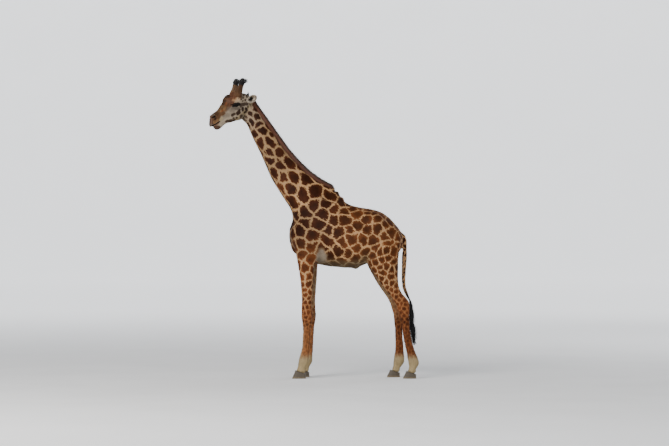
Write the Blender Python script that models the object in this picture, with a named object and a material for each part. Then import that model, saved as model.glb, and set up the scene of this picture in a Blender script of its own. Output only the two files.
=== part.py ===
"""A young bull giraffe, life size, standing still with its head turned a little to its left.

Frame: metres, +Z up, the animal faces -X and its left side is -Y. The origin is on the ground
under the middle of its box. The body is lofted from named sections, fused by a voxel remesh,
smoothed and thinned, then parted into head, neck, trunk and legs with cuts of one hair's width.
"""

import math
from collections import namedtuple

import bmesh
import bpy
from mathutils import Matrix, Vector

# ---------------------------------------------------------------- driving dimensions
GAP = 0.0003            # clearance of every cut between neighbours
VOXEL = 0.010           # grain of the fused body
FINE_TRIANGLES = 8200   # of the fused body, at the grain that its head and feet keep
BODY_TRIANGLES = 4500   # of the fused body, before it is parted
RING_POINTS = 28        # points round each lofted section
HEAD_PIVOT = Vector((-0.99, 0.0, 4.11))  # where the head turns on the neck
HEAD_YAW = math.radians(28)              # the head looks a little to the animal's left
EYE_RADIUS = 0.027
EYE_CENTRE = Vector((-0.246, 0.102, -0.020))   # in the head's frame, +Y is its right side
OSSICONE_BASE = Vector((-0.206, 0.072, 0.096))
OSSICONE_TIP = Vector((-0.134, 0.114, 0.358))
EAR_LENGTH = 0.195
EAR_WALL = 0.008
EAR_COLUMNS = 6
EAR_ROWS = 7
EAR_BASE = Vector((-0.045, 0.085, 0.036))
EAR_OUTWARD = Vector((0.060, 0.170, 0.058))    # the left ear stands out sideways
EAR_RAISED = Vector((0.110, 0.060, 0.143))     # the right ear is laid back and up
FORE_HALF_STANCE = 0.18
HIND_HALF_STANCE = 0.16
RIGHT_FORE_SET_BACK = 0.05

# One cross-section: its dorsal and ventral points in the side view, half its width, how much
# wider it is below than above (pear), its squareness (2 is an ellipse), and its middle in Y.
Section = namedtuple("Section", "top bottom width pear square middle")


def section(top, bottom, width, pear=0.0, square=2.0, middle=0.0):
    return Section(top, bottom, width, pear, square, middle)


# ---------------------------------------------------------------- the body's sections
TRUNK = (
    section((-0.368, 2.23), (-0.368, 2.06), 0.060),
    section((-0.332, 2.32), (-0.332, 1.955), 0.120, 0.05),
    section((-0.255, 2.55), (-0.255, 1.86), 0.175, 0.08),
    section((-0.150, 2.73), (-0.150, 1.785), 0.222, 0.12),
    section((-0.030, 2.80), (-0.030, 1.725), 0.258, 0.20),
    section((0.090, 2.85), (0.090, 1.69), 0.283, 0.28),
    section((0.210, 2.875), (0.210, 1.667), 0.300, 0.34),   # withers
    section((0.315, 2.85), (0.315, 1.655), 0.313, 0.34),
    section((0.420, 2.69), (0.420, 1.647), 0.322, 0.26, 2.1),
    section((0.540, 2.603), (0.540, 1.643), 0.328, 0.20, 2.15),   # ribs
    section((0.690, 2.562), (0.690, 1.665), 0.318, 0.16, 2.15),
    section((0.840, 2.54), (0.840, 1.718), 0.292, 0.12, 2.1),    # flank
    section((0.990, 2.50), (0.990, 1.74), 0.272, 0.10),
    section((1.110, 2.43), (1.110, 1.74), 0.247, 0.10),          # croup
    section((1.215, 2.325), (1.215, 1.80), 0.205, 0.08),
    section((1.290, 2.235), (1.290, 1.89), 0.140),
    section((1.328, 2.16), (1.328, 1.98), 0.070),                # tail head
)

NECK = (
    section((-0.990, 4.17), (-1.095, 3.93), 0.078),
    section((-0.885, 4.08), (-1.013, 3.818), 0.084, 0.08),
    section((-0.772, 3.93), (-0.945, 3.675), 0.090, 0.14),
    section((-0.652, 3.758), (-0.858, 3.502), 0.098, 0.18),
    section((-0.518, 3.57), (-0.777, 3.338), 0.107, 0.20),
    section((-0.382, 3.39), (-0.701, 3.158), 0.118, 0.22),
    section((-0.240, 3.232), (-0.615, 2.963), 0.133, 0.24),
    section((-0.098, 3.09), (-0.522, 2.798), 0.152, 0.26),
    section((0.045, 2.978), (-0.423, 2.64), 0.178, 0.28),
    section((0.195, 2.90), (-0.338, 2.505), 0.205, 0.28),
    section((0.318, 2.805), (-0.305, 2.34), 0.228, 0.24),
    section((0.420, 2.655), (-0.250, 2.13), 0.238, 0.18),
)

# The head is drawn facing -X about HEAD_PIVOT, then turned. Brow to muzzle is one loft.
SKULL = (
    section((-0.610, -0.245), (-0.622, -0.312), 0.026),
    section((-0.598, -0.206), (-0.612, -0.338), 0.048),            # upper lip
    section((-0.566, -0.172), (-0.566, -0.325), 0.056, 0.06, 2.2), # nostrils
    section((-0.532, -0.146), (-0.508, -0.285), 0.053, 0.14, 2.1),
    section((-0.482, -0.104), (-0.445, -0.252), 0.054, 0.22, 2.1),
    section((-0.444, -0.048), (-0.380, -0.230), 0.061, 0.24, 2.1),
    section((-0.408, 0.014), (-0.318, -0.214), 0.075, 0.20, 2.1),
    section((-0.370, 0.078), (-0.258, -0.202), 0.094, 0.12, 2.2),
    section((-0.314, 0.118), (-0.200, -0.190), 0.112, 0.05, 2.2),  # brow
    section((-0.238, 0.134), (-0.140, -0.175), 0.117, 0.0, 2.2),
    section((-0.140, 0.150), (-0.080, -0.150), 0.110, 0.0, 2.1),
    section((-0.040, 0.142), (-0.025, -0.120), 0.098),
    section((0.040, 0.092), (0.025, -0.080), 0.078),               # poll
    section((0.078, 0.042), (0.060, -0.030), 0.045),
)

JAW = (
    section((-0.560, -0.330), (-0.556, -0.352), 0.024),
    section((-0.540, -0.312), (-0.534, -0.384), 0.040),            # lower lip
    section((-0.490, -0.280), (-0.474, -0.380), 0.044),            # chin
    section((-0.440, -0.236), (-0.420, -0.334), 0.042),
    section((-0.390, -0.190), (-0.355, -0.286), 0.046),
    section((-0.326, -0.130), (-0.282, -0.270), 0.060),
    section((-0.250, -0.080), (-0.200, -0.244), 0.078),            # cheek
    section((-0.170, -0.050), (-0.120, -0.214), 0.084),
    section((-0.090, -0.040), (-0.060, -0.165), 0.066),            # angle of the jaw
)

# One slice of a leg: its height, the middle of its depth in X, half its depth, half its
# width, and how far its middle stands out from the stance.
Slice = namedtuple("Slice", "height along depth width outward")

FORELEG = (
    Slice(2.520, 0.010, 0.100, 0.050, -0.075),
    Slice(2.400, -0.022, 0.170, 0.085, -0.040),
    Slice(2.190, -0.066, 0.225, 0.115, 0.000),    # shoulder
    Slice(1.995, -0.086, 0.201, 0.116, 0.012),
    Slice(1.830, -0.103, 0.158, 0.104, 0.018),    # elbow
    Slice(1.680, -0.109, 0.127, 0.092, 0.013),
    Slice(1.530, -0.100, 0.108, 0.081, 0.009),
    Slice(1.350, -0.097, 0.092, 0.070, 0.005),
    Slice(1.170, -0.099, 0.080, 0.064, 0.0),
    Slice(1.050, -0.099, 0.083, 0.069, 0.0),
    Slice(0.945, -0.096, 0.084, 0.071, 0.0),      # knee
    Slice(0.855, -0.095, 0.073, 0.062, 0.0),
    Slice(0.750, -0.099, 0.057, 0.052, 0.0),
    Slice(0.600, -0.104, 0.055, 0.048, 0.0),      # cannon
    Slice(0.450, -0.114, 0.057, 0.048, 0.0),
    Slice(0.360, -0.130, 0.064, 0.054, 0.0),
    Slice(0.285, -0.141, 0.072, 0.063, 0.0),      # fetlock
    Slice(0.225, -0.149, 0.073, 0.063, 0.0),
    Slice(0.165, -0.171, 0.066, 0.056, 0.0),      # pastern
    Slice(0.112, -0.191, 0.074, 0.062, 0.0),
    Slice(0.050, -0.203, 0.080, 0.064, 0.0),
)

HINDLEG = (
    Slice(2.340, 1.060, 0.110, 0.050, -0.070),
    Slice(2.200, 1.055, 0.215, 0.095, -0.030),
    Slice(1.995, 1.028, 0.268, 0.122, 0.005),     # thigh
    Slice(1.815, 1.030, 0.250, 0.118, 0.012),     # stifle
    Slice(1.665, 1.056, 0.218, 0.103, 0.012),
    Slice(1.515, 1.102, 0.170, 0.086, 0.010),
    Slice(1.380, 1.154, 0.129, 0.073, 0.005),
    Slice(1.275, 1.217, 0.110, 0.063, 0.002),
    Slice(1.200, 1.282, 0.115, 0.060, 0.0),
    Slice(1.125, 1.328, 0.112, 0.064, 0.0),       # hock
    Slice(1.035, 1.348, 0.095, 0.062, 0.0),
    Slice(0.930, 1.363, 0.076, 0.055, 0.0),
    Slice(0.795, 1.378, 0.061, 0.048, 0.0),
    Slice(0.645, 1.396, 0.058, 0.046, 0.0),
    Slice(0.495, 1.427, 0.060, 0.046, 0.0),
    Slice(0.375, 1.462, 0.067, 0.052, 0.0),
    Slice(0.285, 1.487, 0.076, 0.060, 0.0),
    Slice(0.218, 1.501, 0.076, 0.061, 0.0),       # fetlock
    Slice(0.150, 1.483, 0.061, 0.053, 0.0),       # pastern
    Slice(0.098, 1.462, 0.070, 0.058, 0.0),
    Slice(0.045, 1.448, 0.078, 0.062, 0.0),
)

# How far the right hind leg stands in front of the left one, at rising heights.
RIGHT_HIND_FORWARD = (
    (0.05, 0.235), (0.10, 0.236), (0.22, 0.219), (0.345, 0.180), (0.495, 0.134),
    (0.72, 0.103), (1.125, 0.076), (1.60, 0.030), (2.00, 0.0),
)

# Rounded masses that the lofts lack: centre, radii, and tilt about Y in degrees.
Mass = namedtuple("Mass", "centre radii tilt")
PAIRED_MASSES = (
    Mass((0.070, 0.150, 2.42), (0.17, 0.106, 0.36), 16),     # shoulder blade
    Mass((-0.235, 0.130, 2.14), (0.115, 0.105, 0.20), 0),    # point of the shoulder
    Mass((0.020, 0.205, 1.93), (0.105, 0.085, 0.19), 10),    # elbow and triceps
    Mass((0.880, 0.130, 2.30), (0.220, 0.160, 0.190), 25),   # hip
    Mass((1.230, 0.085, 2.07), (0.110, 0.100, 0.200), -8),   # buttock
    Mass((0.860, 0.150, 1.86), (0.105, 0.095, 0.130), 0),    # stifle
)
MIDDLE_MASSES = (
    Mass((0.270, 0.0, 2.745), (0.130, 0.070, 0.125), 18),    # withers
    Mass((-0.215, 0.0, 1.985), (0.130, 0.130, 0.150), 0),    # brisket
    Mass((0.630, 0.0, 1.675), (0.062, 0.048, 0.062), 0),     # sheath
)
HEAD_MASSES = (
    Mass((-0.248, 0.082, -0.010), (0.072, 0.044, 0.056), 0),     # orbit
    Mass((-0.200, 0.066, -0.120), (0.120, 0.036, 0.075), 32),    # cheek muscle
    Mass((-0.568, 0.032, -0.214), (0.038, 0.028, 0.036), 0),     # nostril wing
    Mass((-0.200, 0.062, 0.108), (0.068, 0.050, 0.062), 10),     # root of the ossicone
)

CLAW_RING = 14

# Where the fused body is parted, in the side view: two planes, each by its dorsal and its
# ventral point, and the outlines of the legs, anticlockwise.
HEAD_CUT = ((-0.900, 4.150), (-1.058, 3.872))
NECK_CUT = ((0.285, 2.870), (-0.345, 2.400))
FORELEG_OUTLINE = ((-0.60, -1.0), (0.062, -1.0), (0.062, 1.74), (-0.20, 1.86), (-0.60, 1.93))
THIGH_OUTLINE = ((0.60, -1.0), (1.90, -1.0), (1.90, 2.14), (0.98, 2.05), (0.84, 1.90),
                 (0.775, 1.66))


# ---------------------------------------------------------------- scene helpers
def clear_scene():
    for obj in list(bpy.data.objects):
        bpy.data.objects.remove(obj)


def material(name, colour, roughness, metallic=0.0):
    made = bpy.data.materials.new(name)
    made.use_nodes = True
    shader = made.node_tree.nodes["Principled BSDF"]
    shader.inputs["Base Color"].default_value = (*colour, 1.0)
    shader.inputs["Roughness"].default_value = roughness
    shader.inputs["Metallic"].default_value = metallic
    return made


def add_object(name, mesh):
    obj = bpy.data.objects.new(name, mesh)
    bpy.context.scene.collection.objects.link(obj)
    return obj


def from_bmesh(name, bm):
    mesh = bpy.data.meshes.new(name)
    bm.normal_update()
    bm.to_mesh(mesh)
    bm.free()
    return add_object(name, mesh)


def bake(obj):
    """Replaces the object's mesh by what its modifiers make of it."""
    bpy.context.view_layer.update()
    graph = bpy.context.evaluated_depsgraph_get()
    made = bpy.data.meshes.new_from_object(obj.evaluated_get(graph))
    obj.modifiers.clear()
    obj.data = made
    return obj


def copy_of(obj, name):
    return add_object(name, obj.data.copy())


def drop(obj):
    bpy.data.objects.remove(obj)


def boolean(obj, other, operation):
    cut = obj.modifiers.new(operation.lower(), "BOOLEAN")
    cut.object = other
    cut.operation = operation
    cut.solver = "EXACT"
    return bake(obj)


def swollen(obj, by):
    """A copy of obj grown along its normals, to cut a neighbour clear of it."""
    copy = copy_of(obj, obj.name + "_swollen")
    grow = copy.modifiers.new("grow", "DISPLACE")
    grow.strength = by
    grow.mid_level = 0.0
    return bake(copy)


def seat(piece, *hosts):
    """Cuts a socket for the piece into each host, two gaps larger than the piece."""
    cutter = swollen(piece, 2 * GAP)
    for host in hosts:
        boolean(host, cutter, "DIFFERENCE")
    drop(cutter)
    return piece


# ---------------------------------------------------------------- lofting
def between(a, b, c, d, t):
    """Catmull-Rom between b and c."""
    return 0.5 * (2 * b + (c - a) * t + (2 * a - 5 * b + 4 * c - d) * t * t
                  + (3 * b - a - 3 * c + d) * t ** 3)


def refined(rows, steps):
    """Rows of numbers with smooth rows put between them."""
    rows = [Vector(row) for row in rows]
    made = []
    for i in range(len(rows) - 1):
        around = [rows[min(max(i + k, 0), len(rows) - 1)] for k in (-1, 0, 1, 2)]
        made += [between(*around, step / steps) for step in range(steps)]
    return made + [rows[-1]]


def power(value, exponent):
    return math.copysign(abs(value) ** exponent, value)


def section_ring(values, count):
    top_x, top_z, low_x, low_z, width, pear, square, middle = values
    centre = Vector(((top_x + low_x) / 2, middle, (top_z + low_z) / 2))
    half = Vector(((top_x - low_x) / 2, 0.0, (top_z - low_z) / 2))
    ring = []
    for i in range(count):
        angle = 2 * math.pi * i / count
        up = power(math.cos(angle), 2 / square)
        side = power(math.sin(angle), 2 / square)
        ring.append(centre + half * up + Vector((0, width * side * (1 - pear * up), 0)))
    return ring


def skin_rings(bm, rings):
    """Joins rings of like count into one closed tube of triangles, faces outwards."""
    loops = [[bm.verts.new(point) for point in ring] for ring in rings]
    faces = []
    for near, far in zip(loops, loops[1:]):
        for i in range(len(near)):
            j = (i + 1) % len(near)
            faces.append(bm.faces.new((near[i], near[j], far[j], far[i])))
    faces.append(bm.faces.new(list(reversed(loops[0]))))
    faces.append(bm.faces.new(loops[-1]))
    bmesh.ops.recalc_face_normals(bm, faces=faces)
    bmesh.ops.triangulate(bm, faces=faces)


def loft(bm, sections, steps=4, count=RING_POINTS):
    rows = [(*s.top, *s.bottom, s.width, s.pear, s.square, s.middle) for s in sections]
    skin_rings(bm, [section_ring(row, count) for row in refined(rows, steps)])


def loft_leg(bm, slices, stance, side, shift):
    """A leg from level slices. side is 1 for the right and -1 for the left."""
    rings = []
    for height, along, depth, width, outward in refined(slices, 4):
        x = along + shift(height)
        y = side * (stance + outward)
        values = (x - depth, height, x + depth, height, width, 0.0, 2.2, y)
        rings.append(section_ring(values, RING_POINTS))
    skin_rings(bm, rings)


def add_mass(bm, mass, mirrored=False):
    x, y, z = mass.centre
    place = Matrix.Translation((x, -y if mirrored else y, z))
    turn = Matrix.Rotation(math.radians(mass.tilt), 4, "Y")
    stretch = Matrix.Diagonal((*mass.radii, 1.0))
    bmesh.ops.create_uvsphere(bm, u_segments=24, v_segments=16, radius=1.0,
                              matrix=place @ turn @ stretch)


def interpolated(table, at):
    """The value of a table of (place, value) rows at a place, straight between rows."""
    if at <= table[0][0]:
        return table[0][1]
    for (x0, y0), (x1, y1) in zip(table, table[1:]):
        if at <= x1:
            return y0 + (y1 - y0) * (at - x0) / (x1 - x0)
    return table[-1][1]


# ---------------------------------------------------------------- the fused body
def head_matrix():
    return Matrix.Translation(HEAD_PIVOT) @ Matrix.Rotation(HEAD_YAW, 4, "Z")


def head_lofts():
    bm = bmesh.new()
    loft(bm, SKULL)
    loft(bm, JAW)
    for mass in HEAD_MASSES:
        add_mass(bm, mass)
        add_mass(bm, mass, mirrored=True)
    bmesh.ops.transform(bm, matrix=head_matrix(), verts=bm.verts)
    return bm


def body_lofts():
    bm = head_lofts()
    loft(bm, NECK)
    loft(bm, TRUNK)
    loft_leg(bm, FORELEG, FORE_HALF_STANCE, -1, lambda height: 0.0)
    loft_leg(bm, FORELEG, FORE_HALF_STANCE, 1, lambda height: RIGHT_FORE_SET_BACK)
    loft_leg(bm, HINDLEG, HIND_HALF_STANCE, -1, lambda height: 0.0)
    loft_leg(bm, HINDLEG, HIND_HALF_STANCE, 1,
             lambda height: -interpolated(RIGHT_HIND_FORWARD, height))
    for mass in PAIRED_MASSES:
        add_mass(bm, mass)
        add_mass(bm, mass, mirrored=True)
    for mass in MIDDLE_MASSES:
        add_mass(bm, mass)
    return from_bmesh("body", bm)


def weigh(obj, name, weight_of):
    group = obj.vertex_groups.new(name=name)
    for vertex in obj.data.vertices:
        group.add([vertex.index], weight_of(vertex.co), "REPLACE")


def soft_flesh(point):
    """How much the joins of lofts are smoothed: well on the trunk, less on the limbs."""
    if fine_flesh(point):
        return 0.0
    in_trunk = min(max((point.z - 1.45) / 0.30, 0.0), 1.0)
    in_trunk *= min(max((point.x + 0.75) / 0.30, 0.0), 1.0)
    return 0.3 + 0.7 * in_trunk


def fine_flesh(point):
    """1 where small triangles are kept: the head and the feet."""
    on_head = point.z > 3.75 and point.x < -0.86
    on_foot = point.z < 0.35
    return 1.0 if on_head or on_foot else 0.0


def thinned(obj, triangles, kept_group=""):
    """Decimates obj to a count of triangles, leaving a vertex group's part as it is."""
    count = sum(len(face.vertices) - 2 for face in obj.data.polygons)
    thin = obj.modifiers.new("thin", "DECIMATE")
    thin.ratio = triangles / count
    thin.vertex_group = kept_group
    thin.vertex_group_factor = 1.0
    thin.invert_vertex_group = True
    return bake(obj)


def fused_body():
    body = body_lofts()
    remesh = body.modifiers.new("fuse", "REMESH")
    remesh.mode = "VOXEL"
    remesh.voxel_size = VOXEL
    bake(body)
    weigh(body, "soft", soft_flesh)
    light = body.modifiers.new("light", "SMOOTH")
    light.factor = 0.5
    light.iterations = 3
    deep = body.modifiers.new("deep", "SMOOTH")
    deep.factor = 0.5
    deep.iterations = 70
    deep.vertex_group = "soft"
    bake(body)
    body.vertex_groups.clear()
    thinned(body, FINE_TRIANGLES)
    weigh(body, "fine", fine_flesh)
    thinned(body, BODY_TRIANGLES, "fine")
    body.vertex_groups.clear()
    return body


# ---------------------------------------------------------------- parting the body
def block(low, high, matrix=Matrix.Identity(4)):
    """A box between two corners, as a cutter."""
    bm = bmesh.new()
    size = Vector(high) - Vector(low)
    middle = (Vector(high) + Vector(low)) / 2
    place = matrix @ Matrix.Translation(middle) @ Matrix.Diagonal((*size, 1.0))
    bmesh.ops.create_cube(bm, size=1.0, matrix=place)
    cutter = from_bmesh("cutter", bm)
    cutter.hide_render = True
    cutter.display_type = "WIRE"
    return cutter


def half_space(point, normal, inset=0.0):
    """A large box filling the side of a plane that its normal points to."""
    normal = Vector(normal).normalized()
    turn = normal.to_track_quat("Z", "Y").to_matrix().to_4x4()
    return block((-3, -3, inset), (3, 3, 6), Matrix.Translation(point) @ turn)


def split(obj, name, make_region):
    """Cuts the part of obj inside a region away as its own object. make_region(grown)
    returns the region's cutter, grown by that much."""
    piece = copy_of(obj, name)
    region = make_region(0.0)
    boolean(piece, region, "INTERSECT")
    drop(region)
    region = make_region(GAP)
    boolean(obj, region, "DIFFERENCE")
    drop(region)
    return piece


def above_plane(dorsal, ventral):
    """The region on the head's side of a plane through two side-view points."""
    (top_x, top_z), (low_x, low_z) = dorsal, ventral
    along = Vector((low_x - top_x, 0.0, low_z - top_z)).normalized()
    normal = Vector((along.z, 0.0, -along.x))
    return lambda grown: half_space((top_x, 0.0, top_z), normal, -grown)


def outset(profile, by):
    """A convex side-view outline, given anticlockwise, with every edge moved outwards."""
    made = []
    for i, point in enumerate(profile):
        before, here, after = (Vector(profile[k]) for k in (i - 1, i, (i + 1) % len(profile)))
        normals = [Vector((e.y, -e.x)).normalized() for e in (here - before, after - here)]
        made.append(here + (normals[0] + normals[1]) * (by / (1 + normals[0].dot(normals[1]))))
    return made


def prism(profile, low_y, high_y):
    """A side-view outline drawn out across Y, as a cutter."""
    bm = bmesh.new()
    near = [bm.verts.new((x, low_y, z)) for x, z in profile]
    far = [bm.verts.new((x, high_y, z)) for x, z in profile]
    for i in range(len(profile)):
        j = (i + 1) % len(profile)
        bm.faces.new((near[i], near[j], far[j], far[i]))
    bm.faces.new(near)
    bm.faces.new(far)
    bmesh.ops.recalc_face_normals(bm, faces=bm.faces)
    cutter = from_bmesh("cutter", bm)
    cutter.hide_render = True
    cutter.display_type = "WIRE"
    return cutter


def leg_region(profile, shift, inner, side):
    """What of the body is a leg: a side-view outline, outside an inner wall. side is 1 for
    the right and -1 for the left."""

    def region(grown):
        moved = [(x + shift, z) for x, z in profile]
        near, far = inner - grown, 1.0
        low_y, high_y = (near, far) if side > 0 else (-far, -near)
        return prism(outset(moved, grown), low_y, high_y)

    return region


def part_body(body):
    """Head, neck, trunk and legs from the fused body."""
    head = split(body, "head", above_plane(*HEAD_CUT))
    neck = split(body, "neck", above_plane(*NECK_CUT))
    legs = []
    for side, word, shift in ((-1, "left", 0.0), (1, "right", RIGHT_FORE_SET_BACK)):
        fore = leg_region(FORELEG_OUTLINE, shift, 0.085, side)
        hind = leg_region(THIGH_OUTLINE, 0.0, 0.040, side)
        legs.append(split(body, "foreleg_" + word, fore))
        legs.append(split(body, "hindleg_" + word, hind))
    body.name = "trunk"
    return head, neck, body, legs


# ---------------------------------------------------------------- feet
def cut_at_coronet(leg, front, rear):
    """Ends a leg on the slanting line where its hooves begin."""
    (x0, z0), (x1, z1) = front, rear
    normal = Vector((-(z1 - z0), 0.0, x1 - x0)).normalized()
    keep = half_space((x0, 0.0, z0), normal)
    boolean(leg, keep, "INTERSECT")
    drop(keep)


def claw(name, toe, heel, front, rear, middle, width):
    """One claw of a cloven hoof, flat on the ground, its top on the coronet."""
    drop_z = GAP / math.cos(math.atan2(rear[1] - front[1], rear[0] - front[0]))
    front = (front[0], front[1] - drop_z)
    rear = (rear[0], rear[1] - drop_z)
    rows = (
        (toe, 0.0, heel, 0.0, width, 0.0, 2.5, middle),
        (toe + 0.003, 0.014, heel + 0.001, 0.010, width, 0.0, 2.4, middle),
        ((toe + 2 * front[0]) / 3, front[1] * 0.62, (heel + rear[0]) / 2, rear[1] * 0.55,
         width * 0.96, 0.0, 2.3, middle),
        (front[0], front[1], rear[0], rear[1], width * 0.86, 0.0, 2.2, middle),
    )
    bm = bmesh.new()
    skin_rings(bm, [section_ring(row, CLAW_RING) for row in rows])
    return from_bmesh(name, bm)


def hooves(leg, toe, heel, front, rear, stance, side):
    """Both claws of a leg's hoof, an outer and an inner one with a cleft between."""
    cut_at_coronet(leg, front, rear)
    made = []
    claw_half, cleft_half = 0.037, 0.004
    for place, step in (("outer", 1), ("inner", -1)):
        middle = side * (stance + step * (claw_half + cleft_half))
        name = "hoof_" + leg.name + "_" + place
        made.append(claw(name, toe, heel, front, rear, middle, claw_half))
    return made


def all_hooves(legs):
    made = []
    for leg in legs:
        side = -1 if leg.name.endswith("left") else 1
        if leg.name.startswith("fore"):
            shift = RIGHT_FORE_SET_BACK if side > 0 else 0.0
            shape = (-0.318, -0.112, (-0.272, 0.122), (-0.116, 0.072))
            stance = FORE_HALF_STANCE
        else:
            shift = -RIGHT_HIND_FORWARD[0][1] if side > 0 else 0.0
            shape = (1.338, 1.536, (1.386, 0.110), (1.534, 0.064))
            stance = HIND_HALF_STANCE
        toe, heel, front, rear = shape
        made += hooves(leg, toe + shift, heel + shift, (front[0] + shift, front[1]),
                       (rear[0] + shift, rear[1]), stance, side)
    return made


# ---------------------------------------------------------------- head parts
def eyes(head):
    made = []
    for side, word in ((-1, "left"), (1, "right")):
        centre = head_matrix() @ Vector((EYE_CENTRE.x, side * EYE_CENTRE.y, EYE_CENTRE.z))
        for radius, name in ((EYE_RADIUS + GAP, "socket"), (EYE_RADIUS, "eye_" + word)):
            bm = bmesh.new()
            bmesh.ops.create_uvsphere(bm, u_segments=12, v_segments=8, radius=radius,
                                      matrix=Matrix.Translation(centre))
            ball = from_bmesh(name, bm)
            if name == "socket":
                boolean(head, ball, "DIFFERENCE")
                drop(ball)
            else:
                made.append(ball)
    return made


def tube_rings(path, count):
    """Rings about a path of (point, half depth, half width) rows, width along Y."""
    rings = []
    for i, (point, depth, width) in enumerate(path):
        ahead = path[min(i + 1, len(path) - 1)][0] - path[max(i - 1, 0)][0]
        across = (Vector((0, 1, 0)) - ahead * (ahead.y / ahead.length_squared)).normalized()
        along = ahead.cross(across).normalized()
        rings.append([
            point + across * (width * math.cos(a)) + along * (depth * math.sin(a))
            for a in (2 * math.pi * k / count for k in range(count))
        ])
    return rings


def ossicone(side, word):
    """A skin-covered horn with a knob of black hair at its tip."""
    base = Vector((OSSICONE_BASE.x, side * OSSICONE_BASE.y, OSSICONE_BASE.z))
    tip = Vector((OSSICONE_TIP.x, side * OSSICONE_TIP.y, OSSICONE_TIP.z))
    rows = ((0.00, 0.058), (0.18, 0.050), (0.38, 0.040), (0.58, 0.034), (0.72, 0.035),
            (0.82, 0.044), (0.92, 0.042), (0.98, 0.026), (1.00, 0.008))
    path = [(base.lerp(tip, t) + Vector((0.010 * math.sin(math.pi * t), 0, 0)), r, r * 0.92)
            for t, r in rows]
    bm = bmesh.new()
    skin_rings(bm, tube_rings(path, 14))
    bmesh.ops.transform(bm, matrix=head_matrix(), verts=bm.verts)
    return from_bmesh("ossicone_" + word, bm)


def ear_ring(centre, across, facing, half, curl, stub):
    """A crescent section of an ear, hollow towards facing. stub fills the hollow up."""
    radius = 1.5 * half / curl
    wall = min(EAR_WALL / 2, radius / 3)
    outs = [across * math.sin(a) - facing * math.cos(a)
            for a in (curl * (2 * j / EAR_COLUMNS - 1) for j in range(EAR_COLUMNS + 1))]
    outer = [centre + out * (radius + wall) for out in outs]
    rim, far_rim = outer[0] + facing * 0.004, outer[-1] + facing * 0.004
    inner = []
    for j, out in enumerate(outs):
        hollow = centre + out * (radius - wall)
        bulge = facing * (0.5 * half * math.sin(math.pi * j / EAR_COLUMNS))
        inner.append(hollow.lerp(rim.lerp(far_rim, j / EAR_COLUMNS) + bulge, stub))
    return outer + inner[::-1]


def ear(side, word, direction):
    """A leaf-shaped cupped ear, open to the front, on a solid stub."""
    axis = Vector((direction.x, side * direction.y, direction.z)).normalized()
    facing = Vector((-1.0, side * 0.25, -0.15))
    facing = (facing - facing.dot(axis) * axis).normalized()
    across = axis.cross(facing).normalized()
    base = Vector((EAR_BASE.x, side * EAR_BASE.y, EAR_BASE.z))
    rings = []
    for i in range(EAR_ROWS + 1):
        t = i / EAR_ROWS
        half = 0.008 + 0.046 * math.sin(math.pi * (0.14 + 0.86 * t ** 0.95)) ** 0.9
        curl = math.radians(112 - 66 * t)
        stub = max(0.0, 1.0 - t / 0.3)
        centre = base + axis * (EAR_LENGTH * t)
        rings.append(ear_ring(centre, across, facing, half, curl, stub))
    bm = bmesh.new()
    skin_rings(bm, rings)
    bmesh.ops.transform(bm, matrix=head_matrix(), verts=bm.verts)
    return from_bmesh("ear_" + word, bm)


# ---------------------------------------------------------------- mane and tail
MANE = (   # its outer edge, then its root inside the neck, from the poll to the withers
    section((-0.968, 4.225), (-0.985, 4.150), 0.014),
    section((-0.885, 4.165), (-0.925, 4.085), 0.017),
    section((-0.810, 4.050), (-0.860, 4.000), 0.018),
    section((-0.660, 3.840), (-0.715, 3.790), 0.019),
    section((-0.510, 3.630), (-0.568, 3.580), 0.020),
    section((-0.360, 3.420), (-0.420, 3.370), 0.021),
    section((-0.205, 3.245), (-0.265, 3.185), 0.021),
    section((-0.055, 3.100), (-0.105, 3.035), 0.021),
    section((0.095, 2.992), (0.055, 2.925), 0.020),
    section((0.240, 2.910), (0.205, 2.840), 0.018),
    section((0.318, 2.872), (0.280, 2.800), 0.012),
)

TAIL = (   # centre in the side view, then its radius
    (1.300, 2.155, 0.040), (1.350, 2.120, 0.037), (1.375, 2.040, 0.033),
    (1.368, 1.920, 0.030), (1.362, 1.770, 0.026), (1.355, 1.620, 0.022),
    (1.350, 1.470, 0.018), (1.358, 1.365, 0.015), (1.382, 1.290, 0.014),
    (1.412, 1.225, 0.013), (1.434, 1.180, 0.013),
)

TAIL_TUFT = (   # centre, half depth and half width, hanging behind the left hock
    (1.432, 1.196, 0.018, 0.018), (1.446, 1.165, 0.026, 0.025),
    (1.462, 1.090, 0.030, 0.030), (1.470, 0.980, 0.031, 0.032),
    (1.468, 0.860, 0.030, 0.030), (1.482, 0.740, 0.036, 0.027),
    (1.494, 0.640, 0.034, 0.022), (1.504, 0.550, 0.018, 0.014),
    (1.512, 0.480, 0.006, 0.006),
)


def mane():
    bm = bmesh.new()
    loft(bm, MANE, steps=1, count=6)
    return from_bmesh("mane", bm)


def tail():
    path = [(Vector((x, 0.0, z)), radius, radius) for x, z, radius in TAIL]
    bm = bmesh.new()
    skin_rings(bm, tube_rings(path, 10))
    return from_bmesh("tail", bm)


def tail_tuft():
    path = [(Vector((x, 0.0, z)), depth, width) for x, z, depth, width in TAIL_TUFT]
    bm = bmesh.new()
    skin_rings(bm, tube_rings(path, 10))
    return from_bmesh("tail_tuft", bm)


# ---------------------------------------------------------------- the animal
def largest_piece(obj):
    """Keeps only the largest loose piece of a mesh, as a cut can leave a crumb."""
    bm = bmesh.new()
    bm.from_mesh(obj.data)
    todo, pieces = set(bm.verts), []
    while todo:
        piece, edge = set(), [todo.pop()]
        while edge:
            vert = edge.pop()
            piece.add(vert)
            for link in vert.link_edges:
                other = link.other_vert(vert)
                if other in todo:
                    todo.remove(other)
                    edge.append(other)
        pieces.append(piece)
    keep = max(pieces, key=len)
    bmesh.ops.delete(bm, geom=[v for v in bm.verts if v not in keep], context="VERTS")
    bm.to_mesh(obj.data)
    bm.free()


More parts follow.
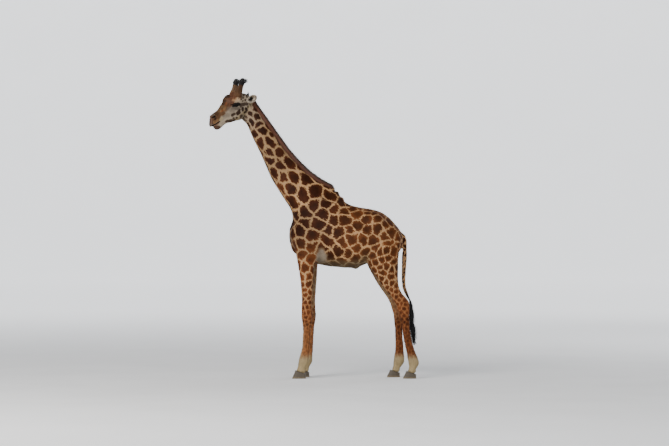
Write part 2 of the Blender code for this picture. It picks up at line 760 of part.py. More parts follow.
def dress(obj, finish):
    obj.data.materials.clear()
    obj.data.materials.append(finish)
    obj.data.shade_smooth()
    obj.data.set_sharp_from_angle(angle=math.radians(50))


def build():
    clear_scene()
    coat = material("coat", (0.30, 0.16, 0.08), 0.8)
    hair = material("dark_hair", (0.03, 0.022, 0.018), 0.75)
    mane_hair = material("mane_hair", (0.14, 0.06, 0.03), 0.8)
    horn = material("hoof_horn", (0.10, 0.085, 0.07), 0.5)
    eye = material("eye", (0.02, 0.012, 0.008), 0.08)

    head, neck, trunk, legs = part_body(fused_body())
    claws = all_hooves(legs)
    balls = eyes(head)
    horns = [seat(ossicone(-1, "left"), head), seat(ossicone(1, "right"), head)]
    ears = [seat(ear(-1, "left", EAR_OUTWARD), head, neck),
            seat(ear(1, "right", EAR_RAISED), head, neck)]
    crest = seat(mane(), head, neck, trunk)
    dock = seat(tail(), trunk)
    tuft = tail_tuft()
    seat(dock, tuft)

    for pieces, finish in (((head, neck, trunk, dock, *legs, *ears, *horns), coat),
                           ((tuft,), hair), ((crest,), mane_hair),
                           (claws, horn), (balls, eye)):
        for piece in pieces:
            largest_piece(piece)
            dress(piece, finish)


build()
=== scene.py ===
"""A life-size giraffe: one skin, its coat, mane, tail hair, eyes and hooves, on a plain studio floor.

Metres, +Z up. The animal faces -X and its left side is towards -Y.
"""

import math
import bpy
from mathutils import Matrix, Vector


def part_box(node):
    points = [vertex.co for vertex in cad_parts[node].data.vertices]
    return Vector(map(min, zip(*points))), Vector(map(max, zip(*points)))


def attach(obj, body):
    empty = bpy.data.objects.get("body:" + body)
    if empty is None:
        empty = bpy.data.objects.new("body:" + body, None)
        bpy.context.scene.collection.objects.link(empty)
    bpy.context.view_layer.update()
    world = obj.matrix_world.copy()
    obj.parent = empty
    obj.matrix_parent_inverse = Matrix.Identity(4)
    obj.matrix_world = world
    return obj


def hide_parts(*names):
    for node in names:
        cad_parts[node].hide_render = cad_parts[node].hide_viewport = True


bl_info = {
    "name": "Giraffe Model",
    "version": (1, 0, 0),
    "blender": (4, 5, 0),
    "location": "View3D > Sidebar > Giraffe",
    "description": "Builds the skin, coat, hair, eyes and hooves of a life-size standing giraffe",
    "category": "Object",
}

import bmesh
import bpy
import numpy as np
from bpy.props import FloatProperty, FloatVectorProperty, IntProperty, PointerProperty
from mathutils import Vector, noise
from mathutils.bvhtree import BVHTree

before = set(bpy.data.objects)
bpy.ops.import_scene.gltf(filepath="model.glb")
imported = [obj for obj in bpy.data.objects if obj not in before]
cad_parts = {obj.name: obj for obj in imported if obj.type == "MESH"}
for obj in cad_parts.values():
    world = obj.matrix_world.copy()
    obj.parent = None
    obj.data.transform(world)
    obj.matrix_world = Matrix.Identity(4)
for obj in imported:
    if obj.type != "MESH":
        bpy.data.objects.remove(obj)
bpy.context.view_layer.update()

BODY = "root"
LEGS = ("foreleg_left", "foreleg_right", "hindleg_left", "hindleg_right")
EARS = ("ear_left", "ear_right")
OSSICONES = ("ossicone_left", "ossicone_right")
EYES = ("eye_left", "eye_right")
FLESH = ("head", "neck", "trunk", *LEGS, *EARS, *OSSICONES, "tail")
HOOVES = tuple(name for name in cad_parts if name.startswith("hoof_"))
FINELY_BUILT = ("head", "neck", *EARS, *OSSICONES, *EYES)

HEAD_PIVOT = np.array((-0.99, 0.0, 4.11))   # where the head turns on the neck
HEAD_YAW = math.radians(28)                 # the head looks a little to the animal's left
NECK_TOP = np.array((-0.93, 0.0, 4.00))
NECK_BASE = np.array((0.00, 0.0, 2.75))
NECK_JOIN = Vector((-0.865, 0.0, 3.86))     # where the fine skin of the head meets the body's
JOIN_GAP = 0.005                            # half the strip that joins them
TAIL_JOIN = 1.88                            # height at which the tail's own skin begins
TAIL_TIP = 1.18
NOSTRILS = np.array(((-0.595, -0.045, -0.200), (-0.595, 0.045, -0.200)))   # in the head's frame
MOUTH_SIDES = np.array([(x, side * y, z) for side in (-1, 1) for x, y, z in
                        ((-0.590, 0.015, -0.322), (-0.570, 0.038, -0.312), (-0.540, 0.048, -0.295),
                         (-0.510, 0.054, -0.277))])
MANE_ROUTE = (   # the hair's outer edge, then its root in the side view, from the poll to the withers
    ((-0.968, 4.225), (-0.985, 4.150)),
    ((-0.885, 4.165), (-0.925, 4.085)),
    ((-0.810, 4.050), (-0.860, 4.000)),
    ((-0.660, 3.840), (-0.715, 3.790)),
    ((-0.510, 3.630), (-0.568, 3.580)),
    ((-0.360, 3.420), (-0.420, 3.370)),
    ((-0.205, 3.245), (-0.265, 3.185)),
    ((-0.055, 3.100), (-0.105, 3.035)),
    ((0.095, 2.992), (0.055, 2.925)),
    ((0.240, 2.910), (0.205, 2.840)),
    ((0.318, 2.872), (0.280, 2.800)),
)
TAIL_TUFT_ROUTE = (   # centre in the side view, half depth and half width
    (1.432, 1.196, 0.016, 0.016),
    (1.446, 1.165, 0.022, 0.022),
    (1.462, 1.090, 0.026, 0.027),
    (1.470, 0.980, 0.028, 0.028),
    (1.468, 0.860, 0.027, 0.027),
    (1.482, 0.740, 0.033, 0.024),
    (1.494, 0.640, 0.030, 0.019),
    (1.504, 0.550, 0.015, 0.012),
    (1.512, 0.485, 0.004, 0.004),
)

HORN_BASE = np.array((-0.206, 0.072, 0.096))   # in the head's frame, on the right side
HORN_TIP = np.array((-0.134, 0.114, 0.358))
BAKE_MAP = "OFBake"
BAKE_PATCH = 0.003      # side of each tuft's patch on the skin's unwrap
MARKING_SEED = 11
MARKING_CHANNELS = 6    # neighbours never share one, so every edge between patches stays sharp
FACING_WEIGHT = 0.25    # keeps patches from joining through thin parts


# ---------------------------------------------------------------- settings

def byte_colour(red, green, blue):
    """A linear colour from a paint chart's byte values."""
    parts = []
    for value in (red, green, blue):
        share = value / 255
        parts.append(share / 12.92 if share <= 0.04045 else ((share + 0.055) / 1.055) ** 2.4)
    return tuple(parts)


def colour_setting(name, description, chart):
    return FloatVectorProperty(name=name, description=description, subtype="COLOR", size=3,
                               min=0.0, max=1.0, default=byte_colour(*chart))


def length_setting(name, description, default):
    return FloatProperty(name=name, description=description, default=default, min=0.0,
                         unit="LENGTH", precision=4)


class GiraffeColours(bpy.types.PropertyGroup):
    """Colours of the coat, hair and horn."""

    net: colour_setting("Net", "Pale lines between the patches of the body", (188, 146, 102))
    neck_net: colour_setting("Neck net", "Pale ground of the neck", (150, 120, 86))
    patch: colour_setting("Patch", "Patches of the neck and shoulder", (60, 27, 9))
    barrel_patch: colour_setting("Barrel patch", "Patches of the barrel and rump", (96, 52, 24))
    leg_ground: colour_setting("Leg ground", "Ground of the lower legs", (158, 103, 62))
    leg_patch: colour_setting("Leg patch", "Patches of the lower legs", (112, 60, 31))
    # The belly colour is darker than the net: partly the belly's own coat, partly painted shade under the trunk.
    belly: colour_setting("Belly", "Belly and armpits", (136, 118, 88))
    belly_patch: colour_setting("Belly patch", "Faint patches of the belly", (82, 59, 37))
    pale: colour_setting("Pale", "Fetlocks and the inside of the ears", (168, 148, 110))
    forehead: colour_setting("Forehead", "Forehead, brow and horn bases", (87, 55, 37))
    bridge: colour_setting("Bridge", "Bridge of the nose", (92, 68, 46))
    cheek: colour_setting("Cheek", "Cheeks and jaw", (140, 126, 108))
    muzzle: colour_setting("Muzzle", "Muzzle between the nostrils and the mouth", (84, 58, 38))
    grey: colour_setting("Grey", "Grey hair round the nostrils and inside the ears", (112, 106, 104))
    tan: colour_setting("Tan", "Streaks of the nose and the side of the upper lip", (118, 86, 56))
    # Shade is laid as painted shade under the eye and cheekbone and in the throat's crease, softly over the front
    # of the cheek and round the mouth, and as a painted highlight over the nostril.
    shade: colour_setting("Shade", "Darker hair of the cheek, under the eye", (90, 80, 70))
    ear_hair: colour_setting("Ear hair", "Inside and along the rim of the ears", (190, 176, 158))
    lip: colour_setting("Lip", "Tip of the upper lip", (88, 64, 52))
    lower_lip: colour_setting("Lower lip", "Lower lip and chin", (64, 43, 31))
    face_spot: colour_setting("Face spot", "Small spots of the jaw and cheek", (42, 27, 18))
    # Lid is also laid as painted shade round each eye and deep in the ears' hollows.
    lid: colour_setting("Lid", "Bare dark skin of lids, nostrils and mouth", (12, 9, 8))
    mane: colour_setting("Mane", "Mane hair near its root", (98, 54, 33))
    mane_edge: colour_setting("Mane edge", "Mane hair at its outer edge", (34, 18, 12))
    # Dark hair is also laid on the far ear's back, partly as painted shadow.
    dark_hair: colour_setting("Dark hair", "Horn tips and tail hair", (17, 14, 13))
    horn: colour_setting("Hoof horn", "Hooves", (84, 74, 60))
    iris: colour_setting("Iris", "Iris of the eye", (44, 24, 13))


class GiraffeSizes(bpy.types.PropertyGroup):
    """Sizes of the skin's relief and of the coat."""

    body_grain: length_setting("Body grain", "Spacing of the skin's points on the body", 0.0170)
    tail_grain: length_setting("Tail grain", "Spacing of the skin's points on the tail", 0.0065)
    head_grain: length_setting("Head grain", "Spacing of the skin's points on the head", 0.0055)
    body_coat: length_setting("Body coat", "Depth of the coat over the body's skin", 0.0070)
    face_coat: length_setting("Face coat", "Depth of the coat over the face", 0.0030)
    tuft_length: length_setting("Tuft length", "Length of a tuft on the body", 0.022)
    tuft_width: length_setting("Tuft width", "Width of a tuft on the body", 0.0036)
    fine_length: length_setting("Fine tuft length", "Length of a tuft on the face", 0.0085)
    fine_width: length_setting("Fine tuft width", "Width of a tuft on the face", 0.0024)
    mane_strands: IntProperty(name="Mane strands", description="Stiff hairs of the mane",
                              default=14000, min=100)
    tail_strands: IntProperty(name="Tail strands", description="Long hairs of the tail",
                              default=2200, min=50)


class GiraffeStudio(bpy.types.PropertyGroup):
    """Camera and light."""

    distance: FloatProperty(name="Camera distance", description="From the camera to the animal",
                            default=40.0, min=5.0, unit="LENGTH")
    camera_height: FloatProperty(name="Camera height", description="Above the floor",
                                 default=2.59, min=0.1, unit="LENGTH")
    camera_side: FloatProperty(name="Camera side", description="Along the animal",
                               default=0.315, unit="LENGTH")
    view_width: FloatProperty(name="View width", description="Width seen at the animal",
                              default=10.03, min=1.0, unit="LENGTH")
    tilt: FloatProperty(name="Camera tilt", description="Downwards from level",
                        default=math.radians(0.387), subtype="ANGLE")
    key_power: FloatProperty(name="Key light", description="Power of the large main light",
                             default=2450.0, min=0.0, unit="POWER")
    fill_power: FloatProperty(name="Fill light", description="Power of the light from the rear",
                              default=760.0, min=0.0, unit="POWER")
    air: FloatProperty(name="Room light", description="Brightness of the pale room",
                       default=0.42, min=0.0)


def colours():
    return bpy.context.scene.giraffe_colours


def sizes():
    return bpy.context.scene.giraffe_sizes


def studio():
    return bpy.context.scene.giraffe_studio


# ---------------------------------------------------------------- small sums

def ramp(value, start, end):
    """0 at start, 1 at end and smooth between them, whichever is the larger."""
    share = np.clip((value - start) / (end - start), 0.0, 1.0)
    return share * share * (3.0 - 2.0 * share)


def unit(vectors):
    return vectors / np.maximum(np.linalg.norm(vectors, axis=-1, keepdims=True), 1e-9)


def dot(left, right):
    return np.einsum("ij,ij->i", left, np.broadcast_to(right, left.shape))


def to_head(points):
    """World points in the head's own frame: -X to the lips, +Y to its right."""
    moved = points - HEAD_PIVOT
    cos, sin = math.cos(HEAD_YAW), math.sin(HEAD_YAW)
    return np.stack((cos * moved[:, 0] + sin * moved[:, 1],
                     -sin * moved[:, 0] + cos * moved[:, 1], moved[:, 2]), axis=1)


def head_direction(vectors):
    """Directions of the head's own frame, in the world."""
    vectors = np.atleast_2d(np.asarray(vectors, dtype=float))
    cos, sin = math.cos(HEAD_YAW), math.sin(HEAD_YAW)
    return np.stack((cos * vectors[:, 0] - sin * vectors[:, 1],
                     sin * vectors[:, 0] + cos * vectors[:, 1], vectors[:, 2]), axis=1)


def to_world(head_points):
    return head_direction(head_points) + HEAD_PIVOT


def along_neck(points):
    """0 behind the jaw and 1 at the neck's base."""
    axis = NECK_BASE - NECK_TOP
    return (points - NECK_TOP) @ axis / (axis @ axis)


def segment_distance(points, start, end):
    """How far each point is from a straight line between two places, and how far along it."""
    start, end = np.asarray(start, float), np.asarray(end, float)
    axis = end - start
    along = np.clip((points - start) @ axis / max(axis @ axis, 1e-12), 0.0, 1.0)
    return np.linalg.norm(points - start - along[:, None] * axis, axis=1), along


def wander(points, scale):
    """Smooth chance numbers between about -1 and 1 over some points."""
    return np.array([noise.noise(Vector(point)) for point in (points * scale).tolist()])


def wander_ways(points, scale):
    """Smooth chance directions over some points."""
    return np.array([noise.noise_vector(Vector(point))[:] for point in (points * scale).tolist()])


def node_centre(name):
    low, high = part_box(name)
    return np.array((low + high) / 2)


# ---------------------------------------------------------------- mesh tools

def deselect_all():
    if bpy.context.object and bpy.context.object.mode != "OBJECT":
        bpy.ops.object.mode_set(mode="OBJECT")
    bpy.ops.object.select_all(action="DESELECT")


def make_active(obj):
    deselect_all()
    obj.select_set(True)
    bpy.context.view_layer.objects.active = obj


def link(name, mesh):
    obj = bpy.data.objects.new(name, mesh)
    bpy.context.collection.objects.link(obj)
    return obj


def drop(obj):
    mesh = obj.data
    bpy.data.objects.remove(obj)
    bpy.data.meshes.remove(mesh)


def nodes_as_mesh(names):
    """One mesh of several CAD nodes, with the loose triangles of each merged."""
    bm = bmesh.new()
    for name in names:
        bm.from_mesh(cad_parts[name].data)
    bmesh.ops.remove_doubles(bm, verts=bm.verts, dist=0.00001)
    mesh = bpy.data.meshes.new("copied_nodes")
    bm.to_mesh(mesh)
    bm.free()
    mesh.materials.clear()
    return mesh


def apply_modifier(obj, kind, **values):
    make_active(obj)
    modifier = obj.modifiers.new(kind.lower(), kind)
    for key, value in values.items():
        setattr(modifier, key, value)
    bpy.ops.object.modifier_apply(modifier=modifier.name)


def remeshed(names, grain):
    """The fused outside of several nodes at one grain, as a bmesh."""
    obj = link("fused", nodes_as_mesh(names))
    apply_modifier(obj, "REMESH", mode="VOXEL", voxel_size=grain, adaptivity=0.0)
    bm = bmesh.new()
    bm.from_mesh(obj.data)
    drop(obj)
    return bm


def keep_side(bm, point, normal):
    """Cuts a bmesh by a plane and keeps what is behind it, open at the cut."""
    bmesh.ops.bisect_plane(bm, geom=bm.verts[:] + bm.edges[:] + bm.faces[:], plane_co=point,
                           plane_no=normal, clear_outer=True, dist=0.0002)


def read_points(mesh):
    flat = np.empty(len(mesh.vertices) * 3)
    mesh.vertices.foreach_get("co", flat)
    return flat.reshape(-1, 3)


def write_points(mesh, points):
    mesh.vertices.foreach_set("co", points.astype(np.float32).ravel())
    mesh.update()


def read_triangles(mesh):
    """Corner points and corner numbers of a mesh whose faces all have three sides."""
    corners = np.empty(len(mesh.loops), dtype=np.int32)
    mesh.loops.foreach_get("vertex_index", corners)
    return corners.reshape(-1, 3)


def read_edges(mesh):
    flat = np.empty(len(mesh.edges) * 2, dtype=np.int32)
    mesh.edges.foreach_get("vertices", flat)
    return flat.reshape(-1, 2)


def point_normals(points, triangles):
    a, b, c = (points[triangles[:, side]] for side in range(3))
    faces = np.cross(b - a, c - a)
    total = np.empty_like(points)
    for axis in range(3):
        total[:, axis] = sum(np.bincount(triangles[:, side], faces[:, axis], len(points))
                             for side in range(3))
    return unit(total)


class Neighbours:
    """Averages over the points that share an edge."""

    def __init__(self, mesh):
        self.edges = read_edges(mesh)
        self.count = len(mesh.vertices)
        self.degree = np.maximum(np.bincount(self.edges.ravel(), minlength=self.count), 1)

    def mean(self, values):
        first, second = self.edges.T
        total = np.empty_like(values)
        for axis in range(values.shape[1]):
            column = values[:, axis]
            total[:, axis] = (np.bincount(first, column[second], self.count)
                              + np.bincount(second, column[first], self.count))
        return total / self.degree[:, None]

    def blurred(self, values, rounds):
        flat = values.reshape(self.count, -1)
        for _ in range(rounds):
            flat = 0.5 * flat + 0.5 * self.mean(flat)
        return flat.reshape(values.shape)

    def faired(self, points, strength, rounds, pass_band):
        """Smooths the small facets away without thinning the legs."""
        shrink = 0.5
        grow = 1.0 / (pass_band - 1.0 / shrink)
        for _ in range(rounds):
            for step in (shrink, grow):
                points = points + (step * strength)[:, None] * (self.mean(points) - points)
        return points


def set_attribute(mesh, name, kind, values, domain="POINT"):
    layer = mesh.attributes.get(name) or mesh.attributes.new(name, kind, domain)
    field = {"FLOAT": "value", "FLOAT_VECTOR": "vector", "FLOAT_COLOR": "color"}[kind]
    if kind == "FLOAT_COLOR":
        values = np.concatenate((values, np.ones((len(values), 1))), axis=1)
    layer.data.foreach_set(field, np.ascontiguousarray(values, dtype=np.float32).ravel())


def get_attribute(mesh, name):
    layer = mesh.attributes[name]
    field, width = {"FLOAT": ("value", 1), "FLOAT_VECTOR": ("vector", 3),
                    "FLOAT_COLOR": ("color", 4)}[layer.data_type]
    flat = np.empty(len(layer.data) * width, dtype=np.float32)
    layer.data.foreach_get(field, flat)
    return flat.reshape(-1, width)[:, :3].astype(float)


def mesh_of_triangles(name, points, triangles):
    mesh = bpy.data.meshes.new(name)
    mesh.vertices.add(len(points))
    mesh.vertices.foreach_set("co", np.ascontiguousarray(points, dtype=np.float32).ravel())
    mesh.loops.add(triangles.size)
    mesh.loops.foreach_set("vertex_index", np.ascontiguousarray(triangles, dtype=np.int32).ravel())
    mesh.polygons.add(len(triangles))
    mesh.polygons.foreach_set("loop_start", np.arange(0, triangles.size, 3, dtype=np.int32))
    mesh.polygons.foreach_set("use_smooth", np.ones(len(triangles), dtype=bool))
    mesh.update(calc_edges=True)
    return mesh


def finish_piece(obj, material, slot, *replaced):
    """Gives a piece its material and its place on the body; the slot that it is made of is not used."""
    obj.data.materials.clear()
    obj.data.materials.append(material)
    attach(obj, BODY)
    if replaced:
        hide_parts(*replaced)
    return obj


# ---------------------------------------------------------------- regions of the skin

NODE_ORDER = (*FLESH, *EYES)


def nearest_nodes(points):
    """The number in NODE_ORDER of the CAD node that each point lies on."""
    vertices, polygons, owners = [], [], []
    for number, name in enumerate(NODE_ORDER):
        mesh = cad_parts[name].data
        start = len(vertices)
        vertices.extend(vertex.co[:] for vertex in mesh.vertices)
        polygons.extend(tuple(start + corner for corner in face.vertices) for face in mesh.polygons)
        owners.extend([number] * len(mesh.polygons))
    tree = BVHTree.FromPolygons(vertices, polygons)
    found = [tree.find_nearest(point)[2] for point in points.tolist()]
    return np.array(owners)[found]


class Regions:
    """How far each point of the skin belongs to each part of the body."""

    def __init__(self, points, normals, neighbours):
        nearest = nearest_nodes(points)
        shares = neighbours.blurred(np.eye(len(NODE_ORDER))[nearest], 5)
        self.share = {name: shares[:, number] for number, name in enumerate(NODE_ORDER)}
        self.share["head"] = self.share["head"] + self.share["eye_left"] + self.share["eye_right"]
        self.points = points
        self.normals = normals
        self.head = to_head(points)
        self.head_normals = to_head(normals + HEAD_PIVOT)
        self.left = points[:, 1] < 0

    def of(self, *names):
        return sum(self.share[name] for name in names)

    def face_height(self):
        """Distance above the line from the eye to the corner of the mouth."""
        return -0.666 * (self.head[:, 0] + 0.246) + 0.746 * (self.head[:, 2] + 0.020)

    def head_spot(self, centre, radii, mirrored=True):
        """1 at a place of the head, given in its own frame, fading out at its radii."""
        sides = (1, -1) if mirrored else (1,)
        best = np.zeros(len(self.points))
        for side in sides:
            away = (self.head - np.array(centre) * (1, side, 1)) / radii
            best = np.maximum(best, np.exp(-1.6 * np.sum(away * away, axis=1)))
        return best

    def body_spot(self, centre, radii):
        """1 at a place of the side view, fading out at its radii, on both sides."""
        away = (self.points[:, (0, 2)] - np.array(centre)) / radii
        return np.exp(-1.6 * np.sum(away * away, axis=1))


def folded_head(head_points):
    """The head's two sides laid on one."""
    return np.stack((head_points[:, 0], np.abs(head_points[:, 1]), head_points[:, 2]), axis=1)


def ossicone_share(head_points):
    """0 at the base of a horn and 1 at its tip."""
    axis = HORN_TIP - HORN_BASE
    return (folded_head(head_points) - HORN_BASE) @ axis / (axis @ axis)


def ear_axes():
    """For each ear: its root, the way it points and the way its hollow faces, in the world."""
    roots = to_world(np.array(((-0.045, -0.085, 0.036), (-0.045, 0.085, 0.036))))
    ways = unit(head_direction(((0.060, -0.170, 0.058), (0.110, 0.060, 0.143))))
    fronts = unit(head_direction(((-1.0, -0.25, -0.05), (-1.0, 0.30, 0.45))))
    return {name: (roots[n], ways[n], fronts[n]) for n, name in enumerate(EARS)}


def ear_hollow(name, points):
    """How far from the middle of the ear's hollow each point is, as a share of the dark part."""
    root, way, front = ear_axes()[name]
    across = np.cross(way, front)
    away = points - root
    along = away @ way / 0.195
    half = 0.040 * np.sqrt(np.clip(1 - ((along - 0.45) / 0.60) ** 2, 0.02, 1))
    return np.hypot((along - 0.37) / 0.36, away @ across / half)


def lie_of_coat(regions):
    """The way the hair points at each place, before it is laid on the skin."""
    points, head = regions.points, regions.head
    count = len(points)
    down = np.array((0.05, 0.0, -1.0))
    total = np.zeros((count, 3))
    total += regions.of("neck")[:, None] * (unit(NECK_BASE - NECK_TOP) + (0.0, 0.0, -0.25))
    belly = ramp(points[:, 2], 1.95, 1.65)[:, None]
    back = (1 - belly) * np.array((0.80, 0.0, -0.60)) + belly * np.array((1.0, 0.0, -0.05))
    chest = ramp(points[:, 0], 0.05, -0.25)[:, None]
    total += regions.of("trunk")[:, None] * ((1 - chest) * back + chest * np.array((0.25, 0.0, -1.0)))
    total += regions.of(*LEGS, "tail")[:, None] * down
    cheek = ramp(regions.face_height(), 0.06, -0.06)[:, None]
    face = (1 - cheek) * np.array((0.70, 0.0, 0.70)) + cheek * np.array((0.98, 0.0, -0.10))
    total += regions.of("head")[:, None] * head_direction(face)
    upwards = head_direction((0.26, 0.0, 0.95))
    total += regions.of(*OSSICONES)[:, None] * upwards
    for name, (_, way, _) in ear_axes().items():
        total += regions.of(name)[:, None] * way
    lower_lip = regions.head_spot((-0.53, 0.0, -0.33), (0.08, 0.08, 0.06), mirrored=False)[:, None]
    total = (1 - lower_lip) * total + lower_lip * np.array((0.2, 0.0, -0.8))
    flat = total - dot(total, regions.normals)[:, None] * regions.normals
    return unit(flat)


def depth_of_coat(regions):
    """How far the skin lies under the coat's outside."""
    fine = regions.of("head", *EARS, *OSSICONES)
    feet = ramp(regions.points[:, 2], 0.45, 0.12)
    small = np.clip(fine + feet + 0.5 * regions.of("tail"), 0, 1)
    face, body = sizes().face_coat, sizes().body_coat
    legs = regions.of(*LEGS) * (1 - small)
    upper_neck = regions.of("neck") * ramp(along_neck(regions.points), 0.35, 0.0)
    depth = body + (face - body) * np.clip(small + 0.4 * legs + 0.5 * upper_neck, 0, 1)
    return depth * (1 - 0.6 * regions.of(*EARS))


# ---------------------------------------------------------------- markings

class Paint:
    """Ground and patch colours with the patches' spacing, gap, strength and streaks."""

    def __init__(self, regions):
        self.regions = regions
        count = len(regions.points)
        self.ground = np.tile(np.array(colours().net[:]), (count, 1))
        self.patch = np.tile(np.array(colours().patch[:]), (count, 1))
        self.spacing = np.full(count, 0.17)
        self.gap = np.full(count, 0.15)
        self.strength = np.ones(count)
        self.streak = np.zeros(count)

    def mix(self, share, **targets):
        """Moves colours and numbers towards targets where share is 1."""
        for name, target in targets.items():
            value = getattr(self, name)
            if isinstance(target, str):
                target = np.array(getattr(colours(), target)[:])
            factor = share[:, None] if value.ndim == 2 else share
            setattr(self, name, value + factor * (target - value))

    def bent_places(self, points):
        """Where patches are laid out: bent so that no edge is straight, and drawn out on the neck."""
        size = ramp(self.spacing, 0.07, 0.16)[:, None]
        bent = points + (0.006 + 0.034 * size) * wander_ways(points, 6.0)
        bent += (0.003 + 0.009 * size) * wander_ways(points, 17.0)
        axis = unit(NECK_TOP - NECK_BASE)
        along = np.maximum((points - NECK_BASE) @ axis, 0.0)
        return bent - 0.22 * along[:, None] * axis


def paint_neck(paint):
    regions = paint.regions
    share, t = regions.of("neck"), along_neck(regions.points)
    paint.mix(share, spacing=np.interp(t, (-0.1, 0.1, 0.35, 0.7, 1.0), (0.100, 0.125, 0.170, 0.210, 0.23)),
              gap=np.interp(t, (0.0, 0.2, 0.5, 1.0), (0.12, 0.13, 0.13, 0.09)))
    paint.mix(share * ramp(t, 1.0, 0.5), ground="neck_net")
    paint.mix(0.6 * share * ramp(t, 0.24, 0.04), ground="cheek", patch="face_spot")
    throat = share * ramp(t, 0.12, -0.12) * ramp(regions.normals[:, 2], 0.2, -0.5)
    paint.mix(throat, ground="cheek", strength=0.5)
    crest = share * ramp(np.abs(regions.points[:, 1]), 0.045, 0.020) * ramp(regions.normals[:, 2], 0.1, 0.5)
    paint.mix(crest, ground="mane", patch="mane")
    paint.mix(0.6 * share * regions.body_spot((-0.45, 2.86), (0.14, 0.24)), patch="leg_patch")


def paint_trunk(paint):
    regions = paint.regions
    points, normals = regions.points, regions.normals
    share, x, z = regions.of("trunk"), points[:, 0], points[:, 2]
    spine = ramp(normals[:, 2], 0.55, 0.92)
    spacing = np.interp(x, (-0.3, 0.25, 0.6, 0.9, 1.3), (0.220, 0.215, 0.200, 0.190, 0.160))
    paint.mix(share, spacing=spacing * (1 - 0.35 * spine),
              gap=np.interp(x, (-0.3, 0.3, 1.0), (0.080, 0.060, 0.050)))
    paint.mix(share * ramp(x, 0.15, 0.65), patch="barrel_patch")
    paint.mix(0.8 * share * ramp(x, 0.45, -0.05), ground="neck_net")
    paint.mix(0.4 * share * ramp(x, 0.80, 1.10), ground="neck_net")
    paint.mix(share * ramp(x, 0.20, 0.00) * ramp(z, 2.20, 1.90), patch="barrel_patch")
    # The low trunk and the underside take the belly's greyer ground and faint patches, laid darker than the net:
    # partly the belly's own coat, partly painted shade.
    low = share * ramp(z, 1.78, 1.64) * ramp(x, 0.05, 0.20)
    paint.mix(low, ground="belly", patch="belly_patch")
    under = share * ramp(normals[:, 2], -0.45, -0.85) * ramp(z, 2.0, 1.8)
    paint.mix(under, ground="belly", patch="belly_patch", strength=0.80)
    armpit = regions.body_spot((0.11, 1.82), (0.13, 0.17)) + 0.25 * wander(points, 16.0)
    armpit = np.clip(3.0 * armpit - 1.05, 0, 1) * np.clip(share + regions.of(*LEGS[:2]), 0, 1)
    paint.mix(armpit * ramp(x, 0.01, 0.05), ground="cheek", strength=0.10)
    groin = regions.of("trunk", *LEGS[2:]) * regions.body_spot((0.80, 1.80), (0.14, 0.10))
    paint.mix(0.8 * groin, ground="belly", patch="belly_patch")


def paint_legs(paint):
    regions = paint.regions
    x, z = regions.points[:, 0], regions.points[:, 2]
    inner = ramp(regions.normals[:, 1] * np.sign(-regions.points[:, 1] + 1e-6), 0.2, 0.8)
    fore, hind = regions.of(*LEGS[:2]), regions.of(*LEGS[2:])
    paint.mix(fore, spacing=np.interp(z, (0.3, 0.8, 1.2, 1.5, 1.8), (0.055, 0.066, 0.080, 0.120, 0.180)),
              gap=np.interp(z, (0.3, 0.9, 1.5, 1.9), (0.11, 0.14, 0.13, 0.08)))
    paint.mix(fore, patch="barrel_patch")
    paint.mix(0.6 * fore * ramp(z, 2.05, 1.70), patch="leg_patch")
    paint.mix(fore * ramp(z, 1.45, 0.90), ground="leg_ground", patch="leg_patch")
    paint.mix(0.6 * fore * ramp(z, 1.00, 0.80), patch="patch")
    paint.mix(fore * ramp(z, 0.95, 0.60), strength=0.50, streak=1.0)
    paint.mix(hind, spacing=np.interp(z, (0.3, 0.9, 1.3, 1.7, 2.1), (0.052, 0.066, 0.085, 0.120, 0.160)),
              gap=np.interp(z, (0.3, 0.9, 1.5, 1.9), (0.11, 0.11, 0.09, 0.05)))
    paint.mix(hind, patch="barrel_patch")
    paint.mix(hind * ramp(z, 1.50, 1.05), ground="leg_ground", patch="leg_patch")
    paint.mix(0.70 * hind * ramp(z, 1.05, 0.85), ground="leg_patch", patch="patch")
    paint.mix(hind * ramp(z, 0.90, 0.45), strength=0.70, streak=0.8)
    both = fore + hind
    paint.mix(both * inner * ramp(z, 0.7, 1.3) * ramp(z, 2.0, 1.6), ground="belly", strength=0.55)
    front = ramp(regions.normals[:, 0], -0.4, -0.9)
    paint.mix(fore * front * ramp(z, 1.0, 0.7), ground="net")
    paint.mix(both * ramp(z, 0.40, 0.28), ground="pale", strength=0.06, streak=0.25)


def paint_tail(paint):
    share, z = paint.regions.of("tail"), paint.regions.points[:, 2]
    paint.mix(share, spacing=0.066, gap=0.19, ground="net", patch="patch", strength=1.0)
    paint.mix(share * ramp(z, 1.40, 1.22), ground="dark_hair", strength=0.0)


